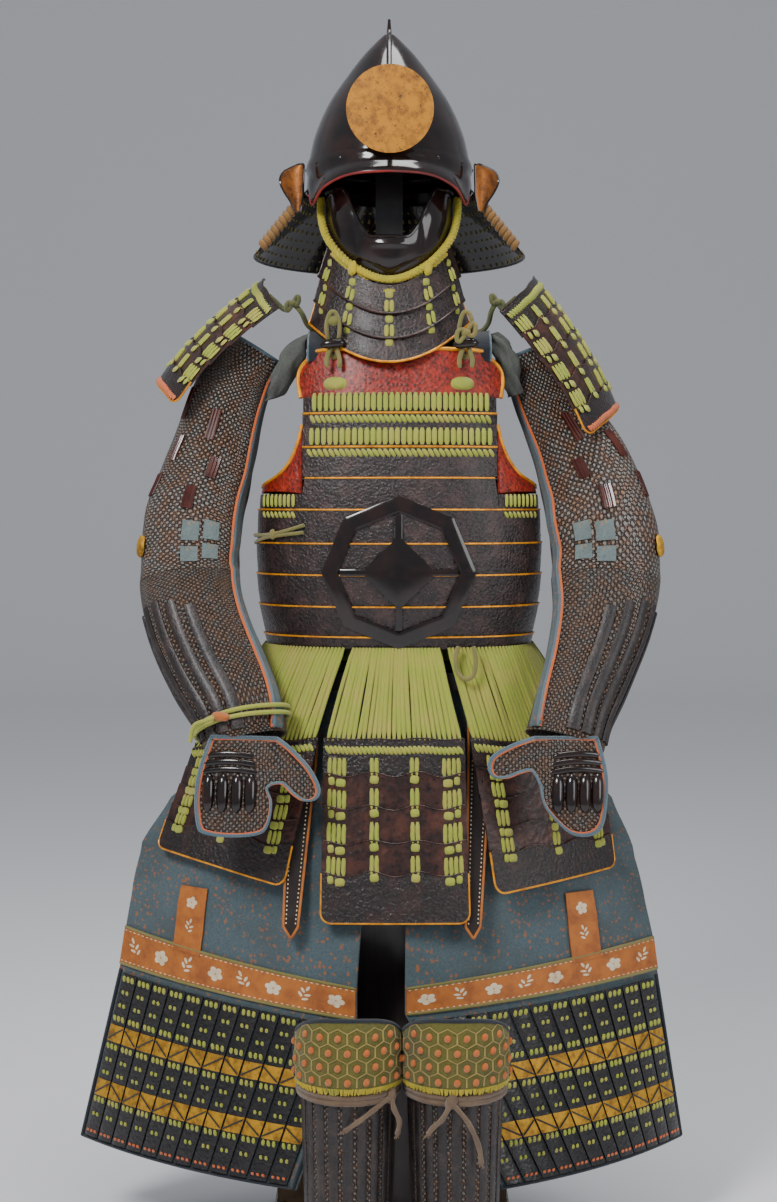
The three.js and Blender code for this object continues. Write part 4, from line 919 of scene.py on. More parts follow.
cords = Shape()
for name, (bulge, corners) in TASSETS.items():
    surface = panel(corners, bulge)
    dressed_panel(f"tasset_{name}", corners, surface, COLUMNS[name], PANEL_EDGES)
    width = (V(*corners[1]) - V(*corners[0])).length
    for u in spread(0.015, 0.985, round(width / 7.0)):
        foot = surface(u, 0.012, 1.0)
        turn = math.degrees(math.atan2(squared((foot.x - TORSO_X) / SKIRT_REACH[0], SQUARE / 2),
                                       squared(-foot.y / SKIRT_REACH[1], SQUARE / 2)))
        head = torso_point(turn, SKIRT_TOP + 3, 2.4)
        out = torso_point(turn, SKIRT_TOP, 3) - torso_point(turn, SKIRT_TOP, 0)
        drift = (surface(u + 0.01, 0, 0) - surface(u, 0, 0)).normalized() * chance.uniform(-1.6, 1.6)
        slack = chance.uniform(-1.5, 2.0)
        path = [head.lerp(foot, t) + (drift + out * slack / 3) * math.sin(math.pi * t) for t in steps(0, 1, 10)]
        cords.ribbon(path, [out.normalized()] * 11, chance.uniform(6.0, 6.9), 2.8, 6, 0.6)
cords.piece("waist_lacing_cords", LACE, "green_lace", "waist_lacing")

SHOULDER_GUARDS = {
    "left": [(-182, 73, 1368), (-155, -70, 1313), (-338, 63, 1218), (-299, -80, 1181)],
    "right": [(147, -70, 1309), (203, 73, 1373), (269, -80, 1138), (327, 63, 1182)],
}
GUARD_EDGES = [0, 0.2, 0.4, 0.6, 0.8, 1]
for side, corners in SHOULDER_GUARDS.items():
    dressed_panel(f"shoulder_guard_{side}", corners, panel(corners, 15, 10), WIDE, GUARD_EDGES,
                  foot_stitches=True)

# Helmet bowl: half width, front and back depth at each height, up to a drawn-out point.
BOWL = [  # height, half width, depth in front, depth behind
    (1524, 113, 122, 126), (1561, 104, 112, 118), (1604, 85, 90, 98), (1641, 60, 62, 70),
    (1672, 36, 37, 42), (1693, 16, 16, 18), (1701, 7, 7, 7),
]
BAND_TOP = 1523.5
VISOR_EDGE = [  # angle from the front, lower edge, flare
    (0, 1490, 17), (25, 1487, 17), (45, 1474, 14), (60, 1456, 9), (72, 1480.6, 4), (90, 1480.6, 2),
    (180, 1480.6, 2),
]


def bowl_point(turn, z, off):
    """Point round the helmet bowl, by its angle from the front and its height."""
    angle = math.radians(turn)
    _, a, front, back = between(BOWL, z)
    depth = front if math.cos(angle) > 0 else back
    return V(HELMET_X + (a + off) * math.sin(angle), -(depth + off) * math.cos(angle), z)


bowl = Shape()
bowl.shell(bowl_point, circle(96), steps(1700.5, 1518, 42), 2.4, around=True)
rib = [V(HELMET_X, -2, 1722), V(HELMET_X, -5, 1704),
       *(bowl_point(0, z, 1.0) for z in (1694, 1672, 1641, 1606, 1570, 1526))]
path = smooth_line(rib, 40)
bowl.tube(path, [2.0 + 1.9 * ease(i / 8) - 1.2 * ease((i - 26) / 14) for i in range(41)], 10)
bowl.piece("helmet_bowl_lacquer", BLACK, "black_lacquer", "helmet_bowl", 30)


def visor_at(turn, t, off):
    """Band below the bowl, which flares into the visor in front."""
    _, low, flare = between(VISOR_EDGE, min(turn % 360, 360 - turn % 360))
    flare = max(flare, 1.5)
    out = 2.6 * math.sin(math.pi * min(1, t / 0.5)) * (t < 0.5) + flare * ease((t - 0.25) / 0.75)
    return bowl_point(turn, BOWL[0][0], 1.2 + out + off) + V(0, 0, mix(BAND_TOP, low, t) - BOWL[0][0])


band = Shape()
band.shell(visor_at, circle(120), steps(0, 1, 14), 1.6, around=True)
band.piece("helmet_band_lacquer", BLACK, "black_lacquer", "helmet_band", 30)
under = Shape()
front = steps(-68, 68, 48)
under.shell(lambda turn, t, off: visor_at(turn, t, off - 1.9), front, steps(0.35, 0.985, 6), 0.5)
under.tube([visor_at(turn, 1.0, -0.8) + V(0, 0, -0.4) for turn in front], 1.7, 8)
under.piece("visor_lining", VISOR_RED, "red_lacquer")
rivets = Shape()
for turn in (-60, -35, 35, 60, 90, 130, 180, 230, 270):
    outward = V(math.sin(math.radians(turn)), -math.cos(math.radians(turn)), 0)
    rivets.pad(bowl_point(turn, 1513, 3.6), V(0, 0, 1), outward, 2.6, 2.6, 1.6, 2, 12)
rivets.piece("helmet_rivets", BLACK, "black_lacquer")

# Plain gilt disc on a short peg in front of the bowl.
DISC = {"radius": 58.5, "x": HELMET_X + 1, "y": -146, "z": 1571}
disc = Shape()


def disc_at(turn, t, off):
    reach = DISC["radius"] * t
    swell = 0.8 * (1 - t * t)
    dented = rough(V(reach * math.cos(math.radians(turn)), 5, reach * math.sin(math.radians(turn))), 26, 0.5)
    return V(DISC["x"] + reach * math.sin(math.radians(turn)), DISC["y"] - off - swell - dented * (1 - t**4),
             DISC["z"] + reach * math.cos(math.radians(turn)))


disc.shell(disc_at, circle(96), [0.001, 0.2, 0.4, 0.6, 0.8, 0.94, 0.985, 1.0], 2.5, around=True)
disc.shell(lambda u, v, off: V(DISC["x"] + mix(-5, 5, u), mix(-143.4, -119.6, v), 1541 + off),
           steps(0, 1, 2), steps(0, 1, 2), 6)  # its peg
disc.piece("helmet_disc_gilt", GILT, "gilt", "helmet_disc")

# Turned-back ends of the neck guard: gilt inside, dark rim, curled like a leaf.
TURNBACK = [  # height, inner X, outer X, how far the outer edge curls back
    (1513, 98, 128, 8), (1506, 96, 146, 18), (1494, 96, 152, 22), (1478, 100, 146, 16), (1462, 112, 136, 8),
    (1449, 123, 130, 3),
]
BOWL_SIDE = [(1513, 118), (1480, 119), (1470, 119), (1449, 123)]  # height, least X that clears the bowl
for side, sign in SIDES.items():
    def leaf(u, v, off):
        z, inner, outer, curl = between(TURNBACK, mix(1513, 1449, v))
        inner = max(inner, between(BOWL_SIDE, z)[1])
        return V(HELMET_X + sign * mix(inner, outer, u), -53 + curl * u * u - 8 * u * (1 - u) - off, z)
    us = steps(0, 1, 12)
    shape = Shape()
    shape.shell(leaf, us if sign > 0 else us[::-1], steps(0, 1, 24), 1.4)
    shape.piece(f"turnback_{side}_gilt", SHELL, "gilt", f"turnback_{side}")
    edge = Shape()
    outline = [*((0, v) for v in steps(1, 0.02, 10)), *((u, 0.0) for u in steps(0.1, 1, 8)),
               *((1, v) for v in steps(0.05, 1, 20))]
    edge.tube([leaf(u, v, -0.6) for u, v in outline], 1.7, 8)
    edge.piece(f"turnback_{side}_edge", BLACK, "black_lacquer")

# Neck guard of flaring lames, laced inside, with twisted cord over its front edges.
NECK = {"top": 1480.4, "bottom": 1392, "top_x": 116, "low_x": 190, "top_y": 127, "low_y": 172, "start": 78}


def neck_point(turn, t, off):
    """Point of the neck guard's cone, from its top (0) to its rim (1)."""
    angle = math.radians(turn)
    dip = -8 * (1 - abs(turn - 180) / 104) * t
    x, y = mix(NECK["top_x"], NECK["low_x"], t) + off, mix(NECK["top_y"], NECK["low_y"], t) + off
    z = mix(NECK["top"], NECK["bottom"], t) + dip + off * 0.4
    return V(HELMET_X + x * math.sin(angle), -y * math.cos(angle), z)


neck, neck_rim, dots = Shape(), Shape(), Shape()
turns = steps(NECK["start"], 360 - NECK["start"], 72)
for i in range(4):
    def at(turn, v, off, i=i):
        return neck_point(turn, (i + mix(0, 1.04 if i < 3 else 1, v)) / 4, off + mix(2.5, 0.5, v))
    neck.shell(at, turns, steps(0, 1, 4), 1.8)
    for turn in steps(NECK["start"] + 5, 355 - NECK["start"], 44):
        for v, half in ((0.35, 2.0), (0.8, 3.4)):
            for face, off in ((1, 0.1), (-1, -1.9)):
                p = at(turn, v, off)
                outward = normal_of(at, turn, v) * face
                dots.pad(p, V(0, 0, 1), outward, half, 1.9, 1.5, 2.4, 8, 2)
neck_rim.tube([neck_point(turn, 1.0, -0.4) for turn in turns], 1.9, 8)
neck.piece("neck_guard_lames", BLACK, "black_lacquer", "neck_guard")
neck_rim.piece("neck_guard_rim", DARK, "black_lacquer")
dots.piece("neck_guard_dots", OLIVE, "tan_cord")

for side, sign in SIDES.items():
    turn = 360 - NECK["start"] + 2.5 if sign < 0 else NECK["start"] - 2.5
    binding = Shape()
    for i in range(10):
        t = mix(0.19, 0.87, i / 9)
        middle = neck_point(turn, t, 0)
        down = (neck_point(turn, t + 0.05, 0) - middle).normalized()
        ring = []
        for k in range(9):
            angle = math.pi * (k / 8)
            lean = down * (17 * (k / 8 - 0.5))
            ring.append(middle + V(sign * 6.8 * math.cos(angle), -5.6 * math.sin(angle) - 1, 0) + lean)
        sizes = [1.8 + 3.2 * math.sin(math.pi * j / 14) ** 0.5 for j in range(15)]
        binding.tube(smooth_line(ring, 14), sizes, 8)
    binding.piece(f"neck_guard_lacing_{side}_cord", TAN, "tan_cord", f"neck_guard_lacing_{side}")

# Half mask over cheeks and chin, open above the chin, with plain calm planes.
MASK = [  # height, half width, depth
    (1480, 88, 86), (1450, 90, 92), (1420, 88, 96), (1390, 78, 94), (1366, 60, 84), (1347, 36, 66),
]
MASK_Y = -22


def mask_top(turn):
    """Height of the mask's open upper edge."""
    return 1406 + 70 * ease((abs(turn) - 16) / 32)


def mask_point(turn, z, off):
    _, a, b = between(MASK, z)
    angle = math.radians(turn)
    return V(HELMET_X + (a + off) * math.sin(angle), MASK_Y - (b + off) * math.cos(angle), z)


def mask_at(turn, t, off):
    """Mask from its upper edge (0) to its foot (1), with plain generic relief."""
    z = mix(mask_top(turn), 1347, t)
    chin = 3.0 * math.exp(-(turn / 16) ** 2 - ((z - 1372) / 12) ** 2)
    cheek = 3.2 * math.exp(-((abs(turn) - 44) / 15) ** 2 - ((z - 1438) / 20) ** 2)
    fold = -2.2 * math.exp(-((z - 1356 - abs(turn) * 0.6) / 3.5) ** 2) * ease(1 - abs(turn) / 70)
    lip = 2.4 * math.exp(-((z - 1396) / 4) ** 2) * ease(1 - abs(turn) / 26)
    furrow = -1.8 * math.exp(-((abs(turn) - 30 - (1440 - z) * 0.12) / 4) ** 2) * ease((z - 1380) / 20)
    return mask_point(turn, z, off + chin + cheek + fold + lip + furrow)


mask = Shape()
mask.shell(mask_at, steps(-84, 84, 96), steps(0, 1, 44), LACQUER)
mask.tube([mask_at(turn, 0.0, 0.2) for turn in steps(-84, 84, 96)], 2.4, 8)
mask.piece("face_mask_lacquer", BLACK, "black_lacquer", "face_mask", 30)

# Braided cord from both sides of the helmet, doubled under the chin.
CHIN_CORD = 5.2
CHIN_PATH = [(-82, 1468), (-76, 1440), (-66, 1408), (-50, 1376), (-28, 1356), (0, 1350), (28, 1356), (50, 1376),
             (66, 1408), (76, 1440), (82, 1468)]
CHIN_DOUBLE = [(-64, 1390, 7), (-48, 1362, 10), (-26, 1339, 13), (0, 1332, 15), (26, 1339, 13), (48, 1362, 10),
               (64, 1390, 7)]
STRANDS = 3


def rope(shape, path, radius, pitch):
    """Cord laid up from strands that wind round each other along a smooth path."""
    total = lengths(path)[-1]
    count = max(12, int(total / pitch * 8))
    line = smooth_line(path, count)
    for s in range(STRANDS):
        strand, up = [], None
        for i, p in enumerate(line):
            ahead = (line[min(i + 1, count)] - line[max(i - 1, 0)]).normalized()
            up = ahead.orthogonal().normalized() if up is None else (up - ahead * up.dot(ahead)).normalized()
            angle = 2 * math.pi * (i / 8 + s / STRANDS)
            strand.append(p + (up * math.cos(angle) + ahead.cross(up) * math.sin(angle)) * radius / 2)
        shape.tube(strand, radius / 2, 7)


chin = Shape()
rope(chin, [mask_point(turn, z, CHIN_CORD + 1.6) for turn, z in CHIN_PATH], CHIN_CORD * 1.15, 15)
rope(chin, [mask_point(*p) for p in CHIN_DOUBLE], CHIN_CORD * 1.15, 15)
for turn in (-44, 47):
    middle = mask_point(turn, 1366, 12)
    outward = normal_of(mask_point, turn, 1366)
    for tilt, size in ((0.5, 1.0), (-0.6, 0.85)):
        chin.pad(middle, V(tilt, 0, 1), outward, 11 * size, 6.5 * size, 6, 2.2, 12)
chin.piece("chin_cord_braid", CHIN, "gold_cord", "chin_cord")

# Throat lames below the mask, each a crescent wider and lower than the one above.
THROAT = [(1302, 88, 101, 40), (1268, 96, 107, 40), (1236, 101.8, 114, 40)]  # lower edge, radii, height
THROAT_RISE = 62


def throat_at(row, turn, t, off):
    """Throat lame of a row, from its upper (0) to its lower edge (1)."""
    low, r0, r1, height = THROAT[row]
    angle = math.radians(turn)
    reach = mix(r0, r1, t) + off + 1.2 * ease((t - 0.85) / 0.15)
    z = low + THROAT_RISE * math.sin(angle) ** 2 + height * (1 - t)
    return V(HELMET_X + reach * math.sin(angle), -16 - reach * math.cos(angle), z)


lace = Shape()
for row in range(3):
    def at(turn, t, off, row=row):
        return throat_at(row, turn, t, off)
    lame, edge = Shape(), Shape()
    lame.shell(at, steps(-78, 78, 64), steps(0, 1, 10), LACQUER)
    lame.piece(f"throat_lame_{row + 1}_lacquer", BROWN, "brown_lacquer", f"throat_lame_{row + 1}")
    edge.tube([at(turn, 0.99, -0.6) for turn in steps(-77, 77, 60)], 1.7, 8)
    for end in (-78, 78):
        edge.tube([at(end, t, -0.8) for t in steps(0.02, 0.98, 8)], 1.5, 6)
    edge.piece(f"throat_lame_{row + 1}_rim", RIM if row == 2 else RUST, "gilt")
    for place in (-62, -33, 0, 33, 62):
        normal = normal_of(at, place, 0.4)
        lace.pad(at(place, 0.34, 0.2), V(0, 0, 1), normal, 5.4, 5.6, 2.4, 3.4, 12)
        if row < 2:
            for shift in (-3.6, 3.6):
                turn = place + math.degrees(shift / 100)
                lace.strip(at, [(turn, t) for t in steps(0.53, 0.93, 5)], 0.3, 6.4, 3.0)
lace.piece("throat_lacing", LACE, "green_lace")

# Shoulder straps, toggles with their cord loops, and the cords up to the shoulder guards.
STRAP_PATH = [(86, 1232), (82, 1258), (54, 1277), (0, 1284), (-54, 1277), (-82, 1260), (-84, 1240)]  # Y, Z
STRAP_X = {"left": TORSO_X - 106, "right": TORSO_X + 106}
TOGGLE_X = {"left": -80, "right": 100}
TOGGLE_LOOP = [  # X from the middle of the loop, Y, Z
    (-6, -108, 1262), (-9, -119, 1284), (-4, -123, 1302), (4, -123, 1302), (9, -119, 1284),
    (6, -108, 1262), (3, -103, 1246), (-3, -103, 1246),
]
TOGGLE_TAIL = [(3, -108, 1258), (7, -113, 1248), (9, -116, 1238), (8, -117, 1229)]
KNOTS = {
    "left": [(-88, -24, 1285.6), (-104, -28, 1285.2), (-118, -34, 1294), (-126, -46, 1310),
             (-138, -42, 1322), (-150, -32, 1316), (-161, -30, 1325), (-172, -33, 1335)],
    "right": [(108, -24, 1285.6), (124, -28, 1285.2), (134, -34, 1296), (138, -46, 1312),
              (146, -40, 1324), (156, -30, 1318), (164, -26, 1324), (174, -27, 1333)],
}


def bow(shape, centre, reach, lean):
    """Knotted cord: two loops and a tight crossing, drawn round a centre."""
    for side in (-1, 1):
        loop = [centre + V(side * reach * math.sin(a), -3 - 3 * math.sin(a),
                           reach * 0.62 * math.sin(2 * a) + lean * side * math.sin(a) * 6)
                for a in steps(0.1, math.pi - 0.1, 12)]
        shape.tube(loop, 3.1, 8)
    shape.pad(centre + V(0, -3, 0), V(1, 0, 0.3).normalized(), V(0, -1, 0), 7, 5.5, 6, 2.2, 12)


for side, x in STRAP_X.items():
    strap_line = smooth_line([V(x, y, z) for y, z in STRAP_PATH], 36)

    def on_strap(u, v, off, line=strap_line):
        i = min(int(v * 36), 35)
        p = line[i].lerp(line[i + 1], v * 36 - i)
        ahead = (line[i + 1] - line[i]).normalized()
        return p + V(mix(-20, 20, u), 0, 0) + V(1, 0, 0).cross(ahead) * -(off + 4)
    strap, edge = Shape(), Shape()
    strap.shell(on_strap, steps(0, 1, 8), steps(0, 1, 36), 4)
    strap.piece(f"shoulder_strap_{side}_lacquer", NAVY, "brown_lacquer", f"shoulder_strap_{side}")
    for u in (0.02, 0.98):
        edge.tube([on_strap(u, v, -0.6) for v in steps(0, 1, 36)], 1.6, 6)
    edge.piece(f"shoulder_strap_{side}_piping", BLUE_EDGE, "blue_cloth")

    middle = TOGGLE_X[side]
    cords = Shape()
    path = [V(middle + dx, y, z) for dx, y, z in TOGGLE_LOOP]
    cords.tube(smooth_line(path, 48, True), 3.0, 8, True)
    for sign in (-1, 1):
        tail = [V(middle + sign * dx, y, z) for dx, y, z in TOGGLE_TAIL]
        cords.tube(smooth_line(tail, 10), [3.2] * 9 + [2.6, 1.6], 8)
    if side == "right":
        bow(cords, V(middle, -118, 1276), 13, 1)
    else:
        cords.pad(V(middle, -121, 1292), V(1, 0, 0), V(0, -1, 0), 8, 7, 5, 2.2, 12)
    cords.piece(f"toggle_cord_{side}_braid", OLIVE, "green_lace", f"toggle_cord_{side}")
    toggle = Shape()
    along = [V(middle + dx, -113 - 2 * math.cos(dx / 12), 1262 + dx * 0.1) for dx in steps(-17, 17, 12)]
    toggle.tube(along, barrel(6.4, 12, 4), 14)
    toggle.piece(f"toggle_{side}", BLACK, "black_lacquer")

    knot = Shape()
    knot.tube(smooth_line([V(*p) for p in KNOTS[side]], 40), 3.8, 8)
    bow(knot, V(*KNOTS[side][4]) + V(0, -4, 0), 9, -SIDES[side])
    knot.piece(f"shoulder_knot_{side}_cord", MOSS, "green_lace", f"shoulder_knot_{side}")

# Sleeves: X, Y, Z of the middle, half width and half depth from shoulder to wrist.
SLEEVES = {
    "left": [
        (-190, 2, 1264, 42, 38), (-228, 0, 1199, 52, 50), (-259, -15, 1092, 62, 56),
        (-279, -42, 1010, 69, 60), (-281, -62, 938, 69, 58), (-266, -90, 880, 69, 54),
        (-234, -125, 812, 68, 48), (-206, -158, 762, 62, 40), (-196, -174, 727, 56, 34),
    ],
    "right": [
        (196, 2, 1262, 42, 38), (222, 0, 1192, 48, 46), (272, -15, 1092, 68, 58), (294, -42, 1010, 76, 62),
        (297, -62, 938, 75, 60), (288, -90, 878, 68, 54), (264, -125, 812, 60, 47), (242, -158, 762, 55, 40),
        (231, -174, 727, 54, 34),
    ],
}
ELBOW = 4  # row where the forearm begins
YOKES = {
    "left": [(-157, 1237), (-145, 1262), (-130, 1277), (-116.5, 1282.3)],
    "right": [(163, 1237), (156, 1262), (148, 1276), (136.5, 1282.3)],
}


def sleeve_spine(side):
    """Middle, half width, half depth and frame along a sleeve, as a function of its row."""
    rows = SLEEVES[side]
    last = len(rows) - 1

    def at_row(v):
        values = between([(i, *row) for i, row in enumerate(rows)], clamp(v, 0, last))[1:]
        return V(*values[:3]), values[3], values[4]

    def frame_of(v):
        ahead = (at_row(v + 0.15)[0] - at_row(v - 0.15)[0]).normalized()
        across = (V(1, 0, 0) - ahead * ahead.x).normalized()
        return across, ahead.cross(across)
    return at_row, frame_of


def sleeve_surface(side):
    """Surface of a sleeve at an angle round it (0 is +X, 90 the front) and a row along it."""
    at_row, frame_of = sleeve_spine(side)

    def at(turn, v, off):
        middle, width, depth = at_row(v)
        across, forward = frame_of(v)
        angle = math.radians(turn)
        if v < ELBOW:
            fold = rough(V(turn * 0.9, v * 70, 40), 44, 3.4)
        else:
            fold = rough(V(turn * 0.5, v * 60, 90), 60, 1.6)
        fold += min(fold, 0) * 0.2
        return (middle + across * (width + off + fold) * math.cos(angle)
                + forward * (depth + off + fold) * math.sin(angle))
    return at


for side, sign in SIDES.items():
    at = sleeve_surface(side)
    turns = circle(72)
    upper = Shape()
    upper.shell(at, turns, steps(0, ELBOW, 44), CLOTH, around=True)
    yoke = smooth_line([V(x, 0, z) for x, z in YOKES[side]], 8)
    upper.shell(lambda u, v, off: yoke[round(v * 8)] + V(0, mix(-15, 15, u), off + 1.5),
                steps(0, 1, 6), steps(0, 1, 8), 3)
    upper.piece(f"sleeve_{side}_mail", UPPER_MAIL, "mail_cloth", f"sleeve_{side}")
    fore = Shape()
    fore.shell(at, turns, steps(ELBOW + 0.008, 8, 50), CLOTH, around=True)
    fore.piece(f"forearm_{side}_mail", FORE_MAIL, "mail_cloth", f"forearm_{side}")

    # Long splints on the outer forearm, and short ribbed plates up the outer arm.
    outer = 180 if sign < 0 else 0
    splints, ribbed, cloth, windows, piping, orange = Shape(), Shape(), Shape(), Shape(), Shape(), Shape()
    for k in range(7):
        turn = outer + sign * mix(-40, 84, k / 6)
        first = 4.55 + 0.35 * abs(k / 3 - 1) ** 2

        def splint(u, v, off, turn=turn):
            _, width, depth = sleeve_spine(side)[0](v)
            half = math.degrees(6.6 / ((width + depth) / 2))
            return at(turn + mix(half, -half, u), v, off + 1.6 + 1.6 * math.sin(math.pi * u) ** 0.6)
        splints.shell(splint, steps(0, 1, 6), steps(first, 7.75, 28), 1.6)
    splints.piece(f"forearm_{side}_splints", SPLINTS, "black_lacquer")
    for k, row in enumerate((1.1, 1.7, 2.3)):
        outside = outer + sign * (44 if k % 2 else 26)
        inside = 90 + sign * (12 if k % 2 else -4)
        for turn, v in ((outside, row), (inside, row + 0.2)):
            def plate_at(u, t, off, turn=turn, v=v):
                rib = 0.7 * math.cos(6 * math.pi * u)
                return at(turn + mix(6.5, -6.5, u), v + mix(0, 0.38, t), off + 2.0 + rib)
            ribbed.shell(plate_at, steps(0, 1, 18), steps(0, 1, 6), 2)
    ribbed.piece(f"sleeve_{side}_ribbed_plates", RIBBED, "red_lacquer")
    for turn, v in ((90 + sign * 28, 3.0), (90 + sign * 4, 3.06), (90 + sign * 28, 3.42), (90 + sign * 4, 3.5)):
        def window_at(u, t, off, turn=turn, v=v):
            return at(turn + mix(9.5, -9.5, u), v + mix(0, 0.33, t), off + 1.6)
        windows.shell(window_at, steps(0, 1, 6), steps(0, 1, 6), 1.6)

    # Sewn edge down the inner front: blue piping round a thin orange line.
    inner = 90 + sign * 62
    seam = [*((inner, v) for v in steps(0.2, 4.0, 40)),
            *((mix(inner, 90 + sign * 44, (v - 4) / 3.9), v) for v in steps(4.1, 7.9, 40))]
    for target, shift, off, width, height in ((cloth, 9, 0.2, 24, 2.2), (piping, 0, 1.4, 7, 3.4),
                                              (orange, -3.5, 1.4, 3.4, 3.0)):
        target.strip(at, [(turn + sign * shift, v) for turn, v in seam], off, width, height, taper=0.8)
    piping.tube([at(turn, 0.02, -0.8) for turn in range(0, 360, 6)], 2.4, 8, True)
    piping.piece(f"sleeve_{side}_piping", BLUE_EDGE, "blue_cloth")
    orange.piece(f"sleeve_{side}_orange_line", ORANGE, "orange_leather")
    cloth.piece(f"sleeve_{side}_blue_edge", TEAL, "blue_cloth")
    windows.piece(f"sleeve_{side}_blue_windows", PALE_CLOTH, "blue_cloth")

    # Domed gilt flower at the outer elbow.
    badge = Shape()
    badge_turn = outer + sign * 17
    centre = at(badge_turn, 3.42, 1.0)
    normal = normal_of(at, badge_turn, 3.42)
    rise = (V(0, 0, 1) - normal * normal.z).normalized()
    wide = normal.cross(rise)

    def petals(turn, t, off):
        angle = math.radians(turn)
        petal = abs(math.cos(2.5 * angle)) * t
        reach = 15 * t * (1 + 0.08 * petal)
        dome = 7 * (1 - t * t) ** 0.5 + 1.2 * petal
        return centre + (wide * math.sin(angle) + rise * math.cos(angle)) * reach + normal * (dome + off)
    badge.shell(petals, circle(60), [0.001, 0.25, 0.5, 0.7, 0.85, 0.95, 1.0], 1.2, around=True)
    badge.piece(f"elbow_flower_{side}", BRASS, "gilt")

# Hand guards: a plate over the back of the hand and thumb, with four knuckle ribs.
HANDS = {
    "left": {
        "corners": [(-275, -189, 745), (-85, -194, 745), (-275, -214, 600), (-85, -222, 600)],
        "outline": [(-240, 738), (-256, 690), (-260, 654), (-257, 622), (-248, 612), (-214, 609), (-176, 613),
                    (-164, 626), (-160, 652), (-165, 672), (-146, 678), (-130, 664), (-116, 655), (-101, 657),
                    (-97, 670), (-110, 696), (-134, 722), (-152, 736)],
        "knuckles": [-243, -224, -205, -187],
    },
    "right": {
        "corners": [(115, -194, 745), (298, -189, 745), (115, -222, 600), (298, -214, 600)],
        "outline": [(272, 736), (283, 690), (283, 654), (277, 622), (262, 610), (238, 612), (218, 628),
                    (201, 650), (195, 676), (184, 694), (168, 692), (150, 685), (134, 686), (128, 697),
                    (134, 712), (160, 727), (188, 737)],
        "knuckles": [218, 236, 254, 271],
    },
}
for side, hand in HANDS.items():
    tl, tr, bl, br = (V(*c) for c in hand["corners"])

    def on_hand(x, z, off):
        u, v = (x - tl.x) / (tr.x - tl.x), (745 - z) / 145
        p = tl.lerp(tr, u).lerp(bl.lerp(br, u), v)
        wave = rough(V(x, 0, z), 40, 1.2)
        return V(p.x, p.y - off - wave - 16 * (1 - (2 * u - 1) ** 2), p.z)
    line = smooth_outline(hand["outline"], 110)
    plate, piping, orange, ribs = Shape(), Shape(), Shape(), Shape()
    plate.plate(line, on_hand, LACQUER, 6)
    plate.piece(f"hand_guard_{side}_plate", FORE_MAIL, "black_lacquer", f"hand_guard_{side}")
    piping.tube([on_hand(x, z, -0.8) for x, z in line], 2.1, 8, True)
    middle = sum((V(x, 0, z) for x, z in line), V(0, 0, 0)) / len(line)
    inner = [V(x, 0, z).lerp(middle, 0.055) for x, z in line]
    orange.tube([on_hand(p.x, p.z, 0.6) for p in inner], 1.3, 6, True)
    inner = [V(x, 0, z).lerp(middle, 0.03) for x, z in line]
    piping.tube([on_hand(p.x, p.z, 0.4) for p in inner], 1.6, 6, True)
    piping.piece(f"hand_guard_{side}_piping", BLUE_EDGE, "blue_cloth")
    orange.piece(f"hand_guard_{side}_orange_line", ORANGE, "orange_leather")
    for x in hand["knuckles"]:
        path = [on_hand(x + (z - 664) * 0.03, z, -1.2) for z in steps(690, 638, 16)]
        ribs.tube(path, barrel(8.6, 16, 3, 0.02), 14)
    for z, half in ((715, 30), (705, 34), (695, 36)):
        x0 = sum(hand["knuckles"]) / 4
        path = [on_hand(x, z - 0.0036 * (x - x0) ** 2, 0) for x in steps(x0 - half, x0 + half, 14)]
        ribs.ribbon(path, [V(0, -1, 0)] * 15, 8.5, 2.6, 8)
    ribs.piece(f"hand_guard_{side}_ribs", BLACK, "black_lacquer")

# Soft grey cloth bundled in each armhole, beside the shoulder straps.
ARMHOLE_CLOTH = {
    "left": [(-116, -34, 1281), (-132, -48, 1264), (-142, -52, 1240), (-152, -48, 1214), (-164, -40, 1192)],
    "right": [(136, -34, 1281), (150, -46, 1264), (160, -50, 1240), (166, -46, 1216), (172, -38, 1196)],
}
for side, points in ARMHOLE_CLOTH.items():
    line = smooth_line([V(*p) for p in points], 40)

    def bundle_at(turn, k, off):
        i = int(clamp(k, 0, 40))
        angle = math.radians(turn)
        size = (9 + 11 * math.sin(math.pi * mix(0.12, 0.92, i / 40))) * (1 if side == "left" else 0.7)
        fold = 4.2 * math.sin(4 * angle + i * 0.33) + rough(V(turn * 0.4, i * 2.0, 5), 14, 6)
        reach = size + fold * 0.6 + off
        return line[i] + V(math.cos(angle), -math.sin(angle) * 0.8, 0.3 * math.cos(angle)) * reach
    bundle = Shape()
    bundle.shell(bundle_at, circle(60), list(range(41)), 2, around=True)
    made = bundle.piece(f"armhole_cloth_{side}", LINING, "blue_cloth")

# Green cord round the left wrist, with an orange bead wrapped in cord.
at = sleeve_surface("left")
cord, bead = Shape(), Shape()
for row, off in ((7.2, 6.4), (7.36, 6.0)):
    winding = [at(turn, row + 0.05 * math.sin(math.radians(turn * 2)), off) for turn in circle(60)]
    cord.tube(winding, 3.1, 8, True)
seat = at(112, 7.25, 8)
cord.piece("wrist_cord_braid", LACE, "green_lace", "wrist_cord")
end = smooth_line([seat + V(-8, -4, 0), seat + V(-16, -9, -4), V(-262, -206, 752), V(-268, -202, 730)], 20)
tail = Shape()
tail.tube(end, 3.0, 8)
made = tail.piece("wrist_cord_tail", LACE, "green_lace")
[c * MM for c in end[0]]
lengths(end)[-1] * MM
[[c * MM for c in p] for p in end]
along = [seat + V(dx, -3, -dx * 0.12) for dx in steps(-12, 12, 14)]
bead.tube(along, barrel(6.2, 14, 3), 12)
bead.piece("wrist_bead", KNOT, "orange_leather")

